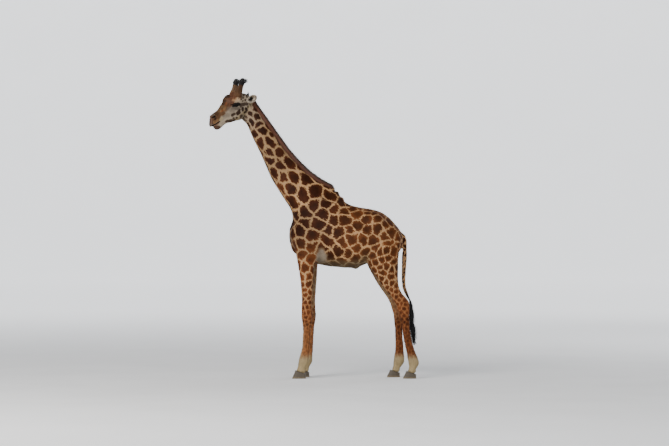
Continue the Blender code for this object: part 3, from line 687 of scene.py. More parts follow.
FACE_SHADES = (   # colour, share, start and end in the head's side view, half width: soft, laid first
    ("shade", 0.95, (-0.295, -0.070), (-0.195, -0.084), 0.027),      # painted shade under the eye, below the cheekbone
    # painted shade going on below the cheekbone towards the nose
    ("shade", 0.60, (-0.350, -0.088), (-0.285, -0.106), 0.035),
    ("shade", 0.40, (-0.395, -0.165), (-0.350, -0.188), 0.030),
    ("lip", 0.65, (-0.355, 0.020), (-0.300, 0.034), 0.030),          # before it
    ("net", 0.45, (-0.270, 0.048), (-0.200, 0.054), 0.028),          # over it
    # painted shade in the crease between the jaw and the throat
    ("shade", 0.70, (-0.140, -0.205), (-0.060, -0.225), 0.045),
)
FACE_MARKS = (   # the same for marks with plain edges, in the order in which they are laid
    ("forehead", 0.9, (-0.320, 0.060), (-0.262, 0.092), 0.022),
    ("face_spot", 0.90, (-0.400, 0.095), (-0.350, 0.112), 0.040),    # dark brow
    ("belly_patch", 0.85, (-0.405, 0.030), (-0.470, -0.060), 0.024),  # olive streak down from it
    ("face_spot", 0.75, (-0.385, 0.040), (-0.420, -0.030), 0.012),
    ("leg_patch", 0.55, (-0.378, 0.000), (-0.395, -0.040), 0.012),
    ("tan", 0.8, (-0.385, -0.062), (-0.465, -0.130), 0.011),
    ("leg_patch", 0.7, (-0.432, -0.108), (-0.450, -0.122), 0.011),
    ("muzzle", 0.9, (-0.525, -0.180), (-0.420, -0.155), 0.022),      # dark side of the nose
    ("muzzle", 0.95, (-0.590, -0.235), (-0.525, -0.190), 0.040),
    ("face_spot", 0.50, (-0.560, -0.165), (-0.520, -0.160), 0.020),
    ("shade", 0.8, (-0.600, -0.192), (-0.570, -0.184), 0.010),       # painted highlight: a grey line over the nostril
    ("face_spot", 0.90, (-0.572, -0.248), (-0.552, -0.238), 0.014),
    ("lip", 0.95, (-0.630, -0.240), (-0.618, -0.305), 0.026),
    ("shade", 0.8, (-0.640, -0.330), (-0.600, -0.332), 0.014),
    ("tan", 0.80, (-0.575, -0.292), (-0.510, -0.262), 0.022),        # side of the upper lip
    ("lower_lip", 0.95, (-0.600, -0.372), (-0.500, -0.368), 0.034),
    ("leg_patch", 0.7, (-0.550, -0.338), (-0.495, -0.305), 0.007),  # edge of the lower lip
    ("pale", 0.6, (-0.470, -0.252), (-0.445, -0.230), 0.022),        # behind the mouth
    ("shade", 0.5, (-0.430, -0.205), (-0.415, -0.193), 0.017),
    ("face_spot", 0.90, (-0.375, -0.270), (-0.235, -0.258), 0.020),  # under the jaw: dark spots, with painted shade along the jaw's lower edge
    ("face_spot", 0.95, (-0.288, -0.182), (-0.266, -0.165), 0.021),  # patches of the jaw
    ("face_spot", 1.00, (-0.214, -0.154), (-0.196, -0.136), 0.029),
    ("face_spot", 0.95, (-0.196, -0.118), (-0.184, -0.102), 0.017),
    ("face_spot", 0.90, (-0.266, -0.224), (-0.260, -0.224), 0.017),
    ("face_spot", 0.95, (-0.218, -0.220), (-0.214, -0.216), 0.017),
    ("face_spot", 0.90, (-0.160, -0.196), (-0.150, -0.182), 0.019),
    ("face_spot", 1.00, (-0.130, -0.100), (-0.134, -0.076), 0.022),
    ("face_spot", 1.00, (-0.076, -0.080), (-0.048, -0.094), 0.020),
    ("face_spot", 0.95, (-0.050, -0.112), (-0.076, -0.136), 0.020),
    ("face_spot", 0.75, (-0.108, -0.222), (-0.066, -0.200), 0.022),
    ("face_spot", 0.70, (-0.130, -0.240), (-0.080, -0.262), 0.018),
    ("face_spot", 0.90, (-0.150, -0.022), (-0.052, -0.008), 0.026),  # behind the eye
    ("face_spot", 0.90, (-0.180, -0.036), (-0.166, -0.056), 0.014),
    ("face_spot", 0.90, (-0.062, 0.030), (-0.042, 0.044), 0.014),    # under the ear
    ("face_spot", 0.9, (-0.147, 0.092), (-0.142, 0.100), 0.016),     # small spots of the crown
    ("face_spot", 0.9, (-0.158, 0.056), (-0.150, 0.060), 0.013),
    ("face_spot", 0.9, (-0.120, 0.076), (-0.114, 0.082), 0.014),
    ("face_spot", 0.90, (-0.106, 0.112), (-0.098, 0.120), 0.015),
    ("face_spot", 0.95, (-0.062, 0.126), (-0.052, 0.112), 0.018),
    ("face_spot", 0.9, (-0.090, 0.042), (-0.074, 0.054), 0.015),
    ("face_spot", 0.8, (-0.176, 0.084), (-0.168, 0.090), 0.013),
    ("face_spot", 0.8, (-0.134, 0.028), (-0.126, 0.036), 0.012),
    ("face_spot", 0.7, (-0.205, 0.070), (-0.200, 0.074), 0.010),
    ("face_spot", 0.8, (-0.050, 0.078), (-0.042, 0.086), 0.014),
)
MOUTH_FRONT = np.array((-0.598, -0.344))   # the slit of the mouth in the head's side view
MOUTH_CORNER = np.array((-0.480, -0.280))


def paint_head(paint):
    regions = paint.regions
    head, share, height = regions.head, regions.of("head"), regions.face_height()
    side_view = head[:, (0, 2)] + 0.008 * wander_ways(head, 34.0)[:, :2]
    side_view += 0.005 * wander_ways(head, 85.0)[:, :2]
    x = head[:, 0]
    edge = height - np.interp(x, (-0.55, -0.36, -0.26, -0.18), (-0.036, 0.000, 0.036, 0.050))
    top = ramp(edge + 0.02 * wander(head, 22.0), 0.0, 0.035)
    paint.mix(share, ground="cheek", patch="face_spot", spacing=0.055, gap=0.50,
              strength=0.75 * ramp(x, -0.10, -0.03), streak=0.15)
    paint.mix(share * top, ground="bridge", streak=0.9)
    crown = ramp(x, -0.42, -0.32)
    paint.mix(share * top * crown, ground="forehead")
    paint.mix(share * ramp(x, -0.19, -0.12), ground="cheek", streak=0.3)
    paint.mix(share * ramp(height, -0.13, -0.18) * ramp(x, -0.44, -0.36), ground="belly")
    for colour, amount, start, end, width in FACE_SHADES:
        away, _ = segment_distance(side_view, start, end)
        paint.mix(amount * share * ramp(away, 1.6 * width, 0.4 * width), ground=colour)
    for colour, amount, start, end, width in FACE_MARKS:
        away, _ = segment_distance(side_view, start, end)
        paint.mix(amount * share * ramp(away, width + 0.004, width - 0.004), ground=colour)
    away, _ = segment_distance(head[:, (0, 2)], MOUTH_FRONT, MOUTH_CORNER)
    paint.mix(share * ramp(away, 0.0120, 0.0075), ground="lid")
    away, _ = segment_distance(head[:, (0, 2)], (-0.590, -0.216), (-0.570, -0.206))
    paint.mix(share * ramp(away, 0.0150, 0.0105), ground="lid")
    # A near-black almond round each eye: partly the bare dark skin of the lids, partly painted shade under the
    # brow.
    away, along = segment_distance(side_view, (-0.314, -0.035), (-0.190, -0.014))
    away += 0.012 * np.abs(2 * along - 1) ** 1.5
    paint.mix(share * ramp(away, 0.036, 0.029), ground="lid", strength=0.0)


def paint_horns_and_ears(paint):
    regions = paint.regions
    share, along = regions.of(*OSSICONES), ossicone_share(regions.head)
    paint.mix(share, ground="forehead", strength=0.0, streak=0.7)
    paint.mix(0.6 * share, ground="bridge")
    paint.mix(0.6 * share * ramp(along, 0.25, 0.60), ground="muzzle")
    paint.mix(0.5 * regions.of("ossicone_left") * ramp(along, 0.0, 0.5), ground="face_spot")
    paint.mix(0.1 * regions.of("ossicone_right"), ground="cheek")
    paint.mix(0.4 * regions.of("ossicone_right") * ramp(along, 0.40, 0.15), ground="tan")
    paint.mix(share * ramp(along, 0.62, 0.72), ground="dark_hair", streak=0.0)
    for name, (root, way, front) in ear_axes().items():
        share = regions.of(name)
        inside = share * ramp(dot(regions.normals, front), 0.05, 0.35)
        along = (regions.points - root) @ way / 0.195
        paint.mix(share, ground="cheek", patch="face_spot", spacing=0.060, gap=0.40, strength=0.55)
        paint.mix(share * ramp(along, 0.55, 0.80), ground="grey", strength=0.2)
        paint.mix(inside, ground="ear_hair", strength=0.0)
        # Near-black deep in each ear's hollow: painted shade.
        hollow = ear_hollow(name, regions.points) + 0.25 * wander(regions.points, 55.0)
        rooted = ramp(along + 0.15 * wander(regions.points, 40.0), 0.50, 0.32)
        paint.mix(inside * rooted * ramp(hollow, 1.45, 1.15), ground="lid")
        # The far ear's back, near-black towards its tip: partly darker hair, partly painted shadow.
        if name == "ear_right":
            dark = share * ramp(along + 0.12 * wander(regions.points, 40.0), 0.40, 0.52)
            paint.mix(dark * ramp(regions.normals[:, 1], 0.25, -0.05), ground="dark_hair", strength=0.0)


def painted(regions):
    paint = Paint(regions)
    paint_trunk(paint)
    paint_neck(paint)
    paint_legs(paint)
    paint_tail(paint)
    paint_head(paint)
    paint_horns_and_ears(paint)
    return paint


class Seeds:
    """The middles of the patches, each with the way that it faces and how greedy it is."""

    def __init__(self, places, normals, spacing, chance):
        self.all = (places, normals, spacing)
        picked = self.scattered(chance)
        self.places, self.normals = places[picked].copy(), normals[picked].copy()
        self.greed = chance.uniform(-0.05, 0.05, len(picked))

    def scattered(self, chance, limit=0.68):
        """Points picked at random, no two of them closer than the patches' spacing allows."""
        places, normals, spacing = self.all
        candidates = chance.permutation(len(places))[:26000]
        kept = [candidates[0]]
        for candidate in candidates[1:]:
            others = np.array(kept)
            apart = places[others] - places[candidate]
            mean = 0.5 * (spacing[others] + spacing[candidate])
            turned = 2.0 - 2.0 * normals[others] @ normals[candidate]
            gaps = np.einsum("ij,ij->i", apart, apart) / mean ** 2 + FACING_WEIGHT * turned
            if gaps.min() > limit ** 2:
                kept.append(candidate)
        return np.array(kept)

    def table(self, rows):
        """Distance from some points to each seed, in units of the patches' spacing there."""
        places, normals, spacing = (values[rows] for values in self.all)
        apart = (np.sum(places ** 2, axis=1)[:, None] + np.sum(self.places ** 2, axis=1)[None, :]
                 - 2.0 * places @ self.places.T)
        turned = 2.0 - 2.0 * normals @ self.normals.T
        scaled = apart / spacing[:, None] ** 2 + FACING_WEIGHT * turned + self.greed
        return np.sqrt(np.maximum(scaled, 0.0))

    def over_all(self, work, step=6000):
        """Runs work on the distance table a few thousand points at a time."""
        starts = range(0, len(self.all[0]), step)
        return np.concatenate([work(self.table(slice(start, start + step))) for start in starts])

    def even_out(self, area):
        """Moves each seed part of the way to the middle of its patch."""
        owner = self.over_all(lambda table: np.argmin(table, axis=1))
        weight = np.maximum(np.bincount(owner, area, len(self.places)), 1e-12)
        for values, seeds in zip(self.all[:2], (self.places, self.normals)):
            for axis in range(3):
                middle = np.bincount(owner, area * values[:, axis], len(seeds)) / weight
                seeds[:, axis] += 0.7 * (weight > 1e-9) * (middle - seeds[:, axis])
        self.normals = unit(self.normals)


def share_channels(nearest_three, count):
    """Gives each patch a channel that none of its neighbours has."""
    neighbours = [set() for _ in range(count)]
    for first, second in ((0, 1), (0, 2)):
        pairs = np.unique(nearest_three[:, (first, second)], axis=0)
        for a, b in pairs.tolist():
            neighbours[a].add(b)
            neighbours[b].add(a)
    channel = np.full(count, -1)
    for seed in sorted(range(count), key=lambda number: -len(neighbours[number])):
        used = [channel[other] for other in neighbours[seed] if channel[other] >= 0]
        tally = np.bincount(used, minlength=MARKING_CHANNELS) if used else np.zeros(MARKING_CHANNELS)
        channel[seed] = int(np.argmin(tally))
    return channel


def three_smallest(table):
    few = np.argpartition(table, 3, axis=1)[:, :3]
    order = np.argsort(np.take_along_axis(table, few, axis=1), axis=1)
    return np.take_along_axis(few, order, axis=1)


def lay_out_patches(triangles, points, normals, paint):
    """For every point, the distance to the nearest patch centre of each channel, and its tone."""
    chance = np.random.default_rng(MARKING_SEED)
    a, b, c = (points[triangles[:, side]] for side in range(3))
    face_area = np.linalg.norm(np.cross(b - a, c - a), axis=1)
    area = sum(np.bincount(triangles[:, side], face_area, len(points)) for side in range(3))
    seeds = Seeds(paint.bent_places(points), normals, paint.spacing, chance)
    seeds.even_out(area)
    nearest = seeds.over_all(three_smallest)
    channel = share_channels(nearest, len(seeds.places))
    fields = seeds.over_all(lambda table: np.stack(
        [table[:, channel == number].min(axis=1) for number in range(MARKING_CHANNELS)], axis=1))
    tone = chance.uniform(0.78, 1.20, len(seeds.places))[nearest[:, 0]]
    return fields, tone


# ---------------------------------------------------------------- the skin's shape

def take_in(bm, other):
    """Adds one bmesh to another."""
    piece = bpy.data.meshes.new("taken_in")
    other.to_mesh(piece)
    other.free()
    bm.from_mesh(piece)
    bpy.data.meshes.remove(piece)


def bridge_open_edges(bm, low, high):
    """Joins the two open rings that lie between two heights."""
    rings = [edge for edge in bm.edges if edge.is_boundary and low < edge.verts[0].co.z < high]
    bmesh.ops.bridge_loops(bm, edges=rings)


def cut_off_tail(bm):
    """Opens the coarse mesh across the tail and removes what hangs below."""
    box = [face for face in bm.faces if face.calc_center_median().x > 1.30
           and abs(face.calc_center_median().y) < 0.07
           and abs(face.calc_center_median().z - TAIL_JOIN) < 0.04]
    near = {item for face in box for item in (*face.verts, *face.edges, face)}
    bmesh.ops.bisect_plane(bm, geom=list(near), plane_co=(0, 0, TAIL_JOIN), plane_no=(0, 0, 1),
                           dist=0.0002)
    hanging = [vertex for vertex in bm.verts if abs(vertex.co.y) < 0.05 and vertex.co.x > 1.40]
    queue = [min(hanging, key=lambda vertex: abs(vertex.co.z - TAIL_TIP))]
    found = set(queue)
    while queue:
        vertex = queue.pop()
        for edge in vertex.link_edges:
            other = edge.other_vert(vertex)
            if other not in found and other.co.z < TAIL_JOIN - 0.0005:
                found.add(other)
                queue.append(other)
    bmesh.ops.delete(bm, geom=list(found), context="VERTS")


def fused_skin():
    """One closed mesh of all the flesh: a coarser body with a fine head and a fine tail."""
    towards_head = Vector(unit(NECK_TOP - NECK_BASE))
    body = remeshed(FLESH, sizes().body_grain)
    keep_side(body, NECK_JOIN - towards_head * JOIN_GAP, towards_head)
    cut_off_tail(body)
    tail = remeshed(("tail",), sizes().tail_grain)
    keep_side(tail, Vector((0, 0, TAIL_JOIN - JOIN_GAP)), Vector((0, 0, 1)))
    take_in(body, tail)
    bridge_open_edges(body, 1.0, 2.5)
    head = remeshed(FINELY_BUILT, sizes().head_grain)
    keep_side(head, NECK_JOIN + towards_head * JOIN_GAP, -towards_head)
    take_in(body, head)
    bridge_open_edges(body, 2.5, 5.0)
    refine_near(body, eye_centres(), 0.055)
    refine_near(body, to_world(NOSTRILS), 0.045)
    refine_near(body, to_world(MOUTH_SIDES), 0.030)
    bmesh.ops.triangulate(body, faces=body.faces)
    keep_largest(body)
    bmesh.ops.recalc_face_normals(body, faces=body.faces)
    mesh = bpy.data.meshes.new("skin")
    body.to_mesh(mesh)
    body.free()
    return mesh


def eye_centres():
    return np.array([node_centre(name) for name in EYES])


def refine_near(bm, centres, radius):
    """Halves the edges close to small features."""
    places = [Vector(centre) for centre in centres]
    close = [edge for edge in bm.edges
             if any((edge.verts[0].co - place).length < radius
                    and (edge.verts[1].co - place).length < radius for place in places)]
    bmesh.ops.subdivide_edges(bm, edges=close, cuts=1, use_grid_fill=True)


def keep_largest(bm):
    """Removes any crumb that the remesh left inside."""
    bm.verts.ensure_lookup_table()
    seen = set()
    groups = []
    for start in bm.verts:
        if start.index in seen:
            continue
        group, queue = [], [start]
        seen.add(start.index)
        while queue:
            vertex = queue.pop()
            group.append(vertex)
            for edge in vertex.link_edges:
                other = edge.other_vert(vertex)
                if other.index not in seen:
                    seen.add(other.index)
                    queue.append(other)
        groups.append(group)
    groups.sort(key=len)
    crumbs = [vertex for group in groups[:-1] for vertex in group]
    bmesh.ops.delete(bm, geom=crumbs, context="VERTS")


BODY_RELIEF = (   # start and end in the side view, width, height: muscle, bone and folds of the trunk
    ((-0.10, 2.62), (0.30, 2.30), 0.10, 0.010),     # shoulder blade
    ((0.26, 2.60), (0.20, 2.20), 0.045, -0.007),    # hollow behind it
    ((-0.22, 2.32), (-0.10, 2.02), 0.08, 0.010),    # point of the shoulder
    ((0.02, 2.20), (0.06, 1.95), 0.06, 0.009),      # muscle of the upper arm
    ((0.10, 2.05), (0.12, 1.82), 0.035, -0.012),    # fold behind the elbow
    ((0.80, 2.35), (0.86, 2.08), 0.06, -0.010),     # flank hollow
    ((0.90, 1.98), (0.78, 1.80), 0.040, -0.012),    # fold of the flank
    ((0.98, 2.42), (1.12, 2.22), 0.07, 0.009),      # point of the hip
    ((1.24, 2.20), (1.28, 2.00), 0.06, 0.008),      # seat bone
    ((1.02, 2.00), (1.12, 1.70), 0.09, 0.008),      # muscle of the thigh
    ((1.20, 1.95), (1.26, 1.55), 0.035, -0.006),    # line behind it
    ((-0.72, 3.62), (-0.22, 2.86), 0.035, -0.005),  # groove along the neck
    ((-0.60, 3.62), (-0.08, 2.92), 0.05, 0.005),    # muscle above the groove
)


def relief_of_body(regions):
    """Muscle and folds on both sides of the trunk, neck and upper legs."""
    side_view = regions.points[:, (0, 2)]
    sideways = ramp(np.abs(regions.normals[:, 1]), 0.15, 0.6)
    rise = np.zeros(len(side_view))
    for start, end, width, height in BODY_RELIEF:
        away, _ = segment_distance(side_view, start, end)
        rise += height * np.exp(-(away / width) ** 2)
    x, z = side_view.T
    ribs = np.sin(2 * math.pi * (x + 0.25 * (z - 2.2)) / 0.085)
    cage = ramp(x, 0.22, 0.32) * ramp(x, 0.80, 0.68) * ramp(z, 1.80, 1.92) * ramp(z, 2.45, 2.25)
    rise += 0.0016 * ribs * cage
    withers = 0.026 * regions.body_spot((0.425, 2.680), (0.05, 0.05)) * (1 - sideways)
    withers -= 0.030 * regions.body_spot((0.345, 2.825), (0.045, 0.045))
    throat = 0.020 * regions.body_spot((-1.055, 3.880), (0.09, 0.07)) * ramp(regions.normals[:, 2], 0.1, -0.4)
    t = along_neck(regions.points)
    front = 0.010 * ramp(t, 0.08, 0.25) * ramp(t, 0.80, 0.60) * ramp(regions.normals[:, 0], -0.3, -0.8)
    return ((rise * sideways + withers) * regions.of("trunk", "neck", *LEGS) + front * regions.of("neck")
            + throat * regions.of("neck", "head"))


def leg_frames(regions):
    """Where each point of a leg lies across it: -1 at its front and +1 at its back."""
    x, z = regions.points[:, 0], regions.points[:, 2]
    across = np.zeros(len(x))
    for name in LEGS:
        mine = regions.share[name] > 0.5
        levels = np.arange(0.05, 2.1, 0.03)
        front, back = np.full(len(levels), np.nan), np.full(len(levels), np.nan)
        for number, level in enumerate(levels):
            ring = mine & (np.abs(z - level) < 0.02)
            if ring.sum() > 6:
                front[number], back[number] = x[ring].min(), x[ring].max()
        known = ~np.isnan(front)
        if known.sum() < 2:
            continue
        low = np.interp(z, levels[known], front[known])
        high = np.interp(z, levels[known], back[known])
        here = np.clip(2 * (x - low) / np.maximum(high - low, 0.01) - 1, -1.2, 1.2)
        across = np.where(mine, here, across)
    return across


def relief_of_legs(regions):
    """Tendons along the shins and the bones of knee and hock."""
    across = leg_frames(regions)
    z = regions.points[:, 2]
    sideways = ramp(np.abs(regions.normals[:, 1]), 0.1, 0.6)
    fore, hind = regions.of(*LEGS[:2]), regions.of(*LEGS[2:])
    shin = ramp(z, 0.22, 0.32) * (fore * ramp(z, 1.00, 0.90) + hind * ramp(z, 0.95, 0.82))
    groove = np.exp(-((across - 0.32) / 0.20) ** 2)
    tendon = np.exp(-((across - 0.68) / 0.22) ** 2)
    rise = shin * (0.006 + sideways * (0.0045 * tendon - 0.0050 * groove))
    knee = fore * np.exp(-((z - 1.08) / 0.05) ** 2) * np.exp(-((across + 0.2) / 0.6) ** 2)
    hollow = hind * np.exp(-((z - 1.14) / 0.09) ** 2) * np.exp(-((across - 0.45) / 0.25) ** 2)
    fetlock = (fore + hind) * np.exp(-((z - 0.23) / 0.045) ** 2)
    crease = (fore + hind) * np.exp(-((z - 0.135) / 0.018) ** 2)
    rise += 0.014 * regions.of("tail") * ramp(z, 2.02, 1.80) * ramp(z, 1.10, 1.30)
    return rise + 0.004 * knee - 0.007 * hollow * sideways + 0.006 * fetlock - 0.004 * crease


HEAD_RELIEF = (   # start and end in the head's frame, width, height, on both sides
    ((-0.290, 0.112, 0.040), (-0.190, 0.118, 0.045), 0.022, 0.0060),    # brow over the eye
    ((-0.340, 0.095, -0.055), (-0.180, 0.118, -0.065), 0.018, 0.0050),  # cheekbone under the eye
    ((-0.340, 0.080, -0.030), (-0.420, 0.070, -0.110), 0.022, -0.0045),  # hollow before the eye
    ((-0.170, 0.100, -0.140), (-0.110, 0.095, -0.080), 0.050, 0.0060),  # chewing muscle
    ((-0.300, 0.070, -0.170), (-0.230, 0.085, -0.110), 0.020, -0.0035),  # line before it
    ((-0.110, 0.105, 0.010), (-0.160, 0.100, 0.060), 0.030, -0.0045),   # temple
    ((-0.470, 0.055, -0.120), (-0.560, 0.050, -0.170), 0.020, 0.0030),  # bone beside the nose
    ((-0.606, 0.018, -0.190), (-0.570, 0.024, -0.168), 0.024, 0.0060),  # end of the nose
    ((-0.355, 0.000, 0.100), (-0.385, 0.000, 0.050), 0.050, 0.0200),    # swelling of the forehead
    ((-0.450, 0.000, -0.050), (-0.545, 0.000, -0.150), 0.050, 0.0160),  # bridge of the nose
    ((-0.500, 0.060, -0.245), (-0.400, 0.072, -0.215), 0.014, -0.0030),  # fold from the mouth's corner
    ((-0.455, 0.060, -0.285), (-0.475, 0.055, -0.235), 0.010, -0.0030),  # fold behind the lips
    ((-0.600, 0.040, -0.240), (-0.560, 0.058, -0.265), 0.018, 0.0030),  # fold of the upper lip
    ((-0.030, 0.070, -0.040), (-0.020, 0.075, 0.010), 0.022, -0.0040),  # behind the jaw
    ((-0.160, 0.030, 0.128), (-0.070, 0.040, 0.122), 0.045, 0.0130),    # crown behind the horns
)


def relief_of_head(regions):
    """Bone and folds of the face."""
    folded = folded_head(regions.head)
    rise = np.zeros(len(folded))
    for start, end, width, height in HEAD_RELIEF:
        away, _ = segment_distance(folded, start, end)
        rise += height * np.exp(-(away / width) ** 2)
    head = regions.of("head")
    x, y, z = folded.T
    horns, along = regions.of(*OSSICONES), ossicone_share(regions.head)
    stem, _ = segment_distance(folded, HORN_BASE, HORN_TIP)
    rise += 0.010 * np.exp(-((along - 0.06) / 0.24) ** 2) * ramp(stem, 0.090, 0.045)
    skirt = 0.004 * horns * ramp(along, 0.05, 0.40)
    ripple = np.sin(2 * math.pi * (z + 0.5 * x) / 0.010)
    lips = regions.head_spot((-0.600, 0.030, -0.270), (0.04, 0.05, 0.03))
    rise += 0.0005 * ripple * lips
    forward = ramp(regions.head_normals[:, 0], -0.2, -0.8)
    rise += 0.010 * horns * forward * ramp(along, 0.8, 0.6)
    rise -= 0.017 * horns * ramp(along, 0.82, 1.02) * ramp(regions.head_normals[:, 2], 0.95, 0.4)
    away, along = segment_distance(folded[:, (0, 2)], MOUTH_FRONT, MOUTH_CORNER)
    rise -= 0.013 * np.exp(-(away / (0.0065 - 0.003 * along)) ** 2)
    rise += 0.0030 * np.exp(-((away - 0.015) / 0.006) ** 2)
    lump = np.exp(-((x + 0.290) / 0.055) ** 2 - (y / 0.040) ** 2) * ramp(z, 0.06, 0.10)
    return np.clip(head + horns, 0, 1) * (rise + 0.008 * lump) + skirt


def round_horn_bases(points, neighbours):
    """Fills the crease where each horn stands on the skull."""
    away = np.linalg.norm(folded_head(to_head(points)) - HORN_BASE - (0.0, 0.030, -0.010), axis=1)
    weight = 0.9 * np.exp(-(away / 0.085) ** 4)
    for _ in range(45):
        points = points + weight[:, None] * (neighbours.mean(points) - points)
    return points


def settle_face(points, share):
    """Draws the end of the muzzle forward, and the lips and the jaw down."""
    x, _, z = to_head(points).T
    forward = 0.009 * ramp(x, -0.53, -0.61)
    above_jaw = z + 0.220 - 0.31 * (x + 0.10)
    drop = 0.020 * ramp(above_jaw, 0.140, 0.070) * ramp(x, -0.07, -0.15)
    return points - (share * forward)[:, None] * head_direction((1.0, 0.0, 0.0)) - np.outer(share * drop, (0, 0, 1))


def open_nostrils(points, head_points, normals, share):
    """Presses a slanting comma into each side of the muzzle, with a raised rim."""
    folded = head_points.copy()
    folded[:, 1] = np.abs(folded[:, 1])
    away, along = segment_distance(folded, NOSTRIL_FRONT, NOSTRIL_REAR)
    width = 0.0115 - 0.0060 * along
    slit = np.exp(-(away / width) ** 4) * share
    rim = np.exp(-((away - 1.9 * width) / (0.8 * width)) ** 2) * share
    return points + normals * (0.0025 * rim - 0.016 * slit)[:, None], slit


NOSTRIL_FRONT = np.array((-0.606, 0.040, -0.222))
NOSTRIL_REAR = np.array((-0.572, 0.054, -0.203))
EYE_OPENING = (math.radians(54), math.radians(27))   # half width and half height, from the eye's centre


def eye_frame(name):
    """The eye's centre, and the ways out of the head, forward and up round it, in the world."""
    side = -1 if name.endswith("left") else 1
    outward = unit(head_direction((-0.22, side, 0.02)))[0]
    forward = head_direction((-0.97, 0.0, -0.10))[0]
    forward = unit(forward - forward @ outward * outward)
    upward = np.cross(outward, forward) * side
    upward = upward * np.sign(upward[2])
    return node_centre(name), outward, forward, unit(upward)


def eye_radius():
    low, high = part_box("eye_left")
    return float((high - low).z) / 2


def opening_share(name, points):
    """For each point round an eye: how far out it is, as a share of the opening, and its height."""
    centre, outward, forward, upward = eye_frame(name)
    away = points - centre
    reach = np.linalg.norm(away, axis=1)
    way = away / np.maximum(reach, 1e-9)[:, None]
    across = np.arctan2(way @ forward, way @ outward)
    height = np.arctan2(way @ upward, np.hypot(way @ outward, way @ forward))
    half_width, half_height = EYE_OPENING
    tip = np.clip(np.abs(across) / half_width, 0, 1)
    almond = half_height * (1 - 0.35 * tip ** 2) * np.where(height > 0, 1.12, 0.88)
    share = np.sqrt((across / half_width) ** 2 + (height / almond) ** 2)
    share = np.where(way @ outward > 0, share, 9.0)
    return share, height, way, reach


def shape_eyelids(points):
    """Opens the lids over each eye, with thick rims and a fold above and below."""
    radius = eye_radius()
    opened = np.zeros(len(points))
    for name in EYES:
        near = np.linalg.norm(points - node_centre(name), axis=1) < 0.10
        share, height, way, reach = opening_share(name, points[near])
        inside = radius - 0.007
        lip = radius + 0.0028
        target = np.where(share < 0.86, inside, inside + (lip - inside) * ramp(share, 0.86, 1.06))
        fold = -0.0022 * np.exp(-((share - 1.55) / 0.13) ** 2) * np.where(height > 0, 1.0, 0.6)
        lid = lip + 0.0012 * np.exp(-((share - 1.25) / 0.15) ** 2) + fold
        target = np.where(share > 1.06, lid, target)
        blend = 1 - ramp(share, 1.25, 2.5)
        settled = np.maximum(reach, radius + 0.0016)
        covered = np.where(share < 2.6, settled, reach)
        new_reach = covered + blend * (target - covered)
        new_reach = np.where(share < 8, new_reach, reach)
        moved = node_centre(name) + way * new_reach[:, None]
        points[near] = moved
        opened[near] = np.maximum(opened[near], 1 - ramp(share, 1.10, 1.30))
    return points, opened


def keep_soles_clear(points, regions):
    """Returns the points as they are; the skin of the feet is not moved."""
    return points


def unwrap_skin(obj):
    """Cuts the skin into flat charts; every coat piece takes its places from this map."""
    make_active(obj)
    obj.data.uv_layers.new(name=BAKE_MAP)
    bpy.ops.object.mode_set(mode="EDIT")
    bpy.ops.mesh.select_all(action="SELECT")
    bpy.ops.uv.smart_project(angle_limit=math.radians(72), island_margin=0.0015,
                             area_weight=0.0, correct_aspect=False, scale_to_bounds=False)
    bpy.ops.object.mode_set(mode="OBJECT")


def build_skin():
    mesh = fused_skin()
    neighbours = Neighbours(mesh)
    points, triangles = read_points(mesh), read_triangles(mesh)
    normals = point_normals(points, triangles)
    regions = Regions(points, normals, neighbours)
    body = np.clip(1 - regions.of("head", *EARS, *OSSICONES), 0, 1)
    points = neighbours.faired(points, 0.25 + 0.75 * body, 60, 0.03)
    ears = regions.of(*EARS)
    points = points * (1 - 0.7 * ears[:, None]) + read_points(mesh) * (0.7 * ears[:, None])
    points = settle_face(round_horn_bases(points, neighbours), regions.of("head"))
    normals = unit(neighbours.blurred(point_normals(points, triangles), 3))
    regions = Regions(points, normals, neighbours)
    rise = relief_of_body(regions) + relief_of_legs(regions) + relief_of_head(regions)
    points = points + normals * (rise - depth_of_coat(regions))[:, None]
    points, slit = open_nostrils(points, to_head(points), normals, regions.of("head"))
    points, lids = shape_eyelids(points)
    write_points(mesh, points)
    skin = link("skin", mesh)
    mesh.polygons.foreach_set("use_smooth", np.ones(len(mesh.polygons), dtype=bool))
    normals = point_normals(points, triangles)
    paint = painted(regions)
    paint.mix(np.clip(1.5 * slit, 0, 1), ground="lid", strength=0.0)
    paint.mix(lids, ground="lid", strength=0.0)
    fields, tone = lay_out_patches(triangles, points, unit(neighbours.blurred(normals, 6)), paint)
    set_attribute(mesh, "near_a", "FLOAT_VECTOR", fields[:, :3])
    set_attribute(mesh, "near_b", "FLOAT_VECTOR", fields[:, 3:])
    set_attribute(mesh, "ground", "FLOAT_COLOR", paint.ground)
    set_attribute(mesh, "patch", "FLOAT_COLOR", np.clip(paint.patch * tone[:, None], 0, 1))
    set_attribute(mesh, "style", "FLOAT_VECTOR",
                  np.stack((paint.gap, paint.strength, paint.streak), axis=1))
    set_attribute(mesh, "place", "FLOAT_VECTOR", points)
    set_attribute(mesh, "lie", "FLOAT_VECTOR", lie_of_coat(regions))
    fine = np.clip(regions.of("head", *EARS, *OSSICONES), 0, 1)
    feet = ramp(points[:, 2], 0.40, 0.15)
    bare = np.clip(1.5 * slit + lids, 0, 1)
    set_attribute(mesh, "coat", "FLOAT_VECTOR",
                  np.stack((np.maximum(fine, 0.8 * feet), depth_of_coat(regions), bare), axis=1))
    unwrap_skin(skin)
    finish_piece(skin, skin_material(), "coat", *FLESH)
    return skin


# ---------------------------------------------------------------- materials

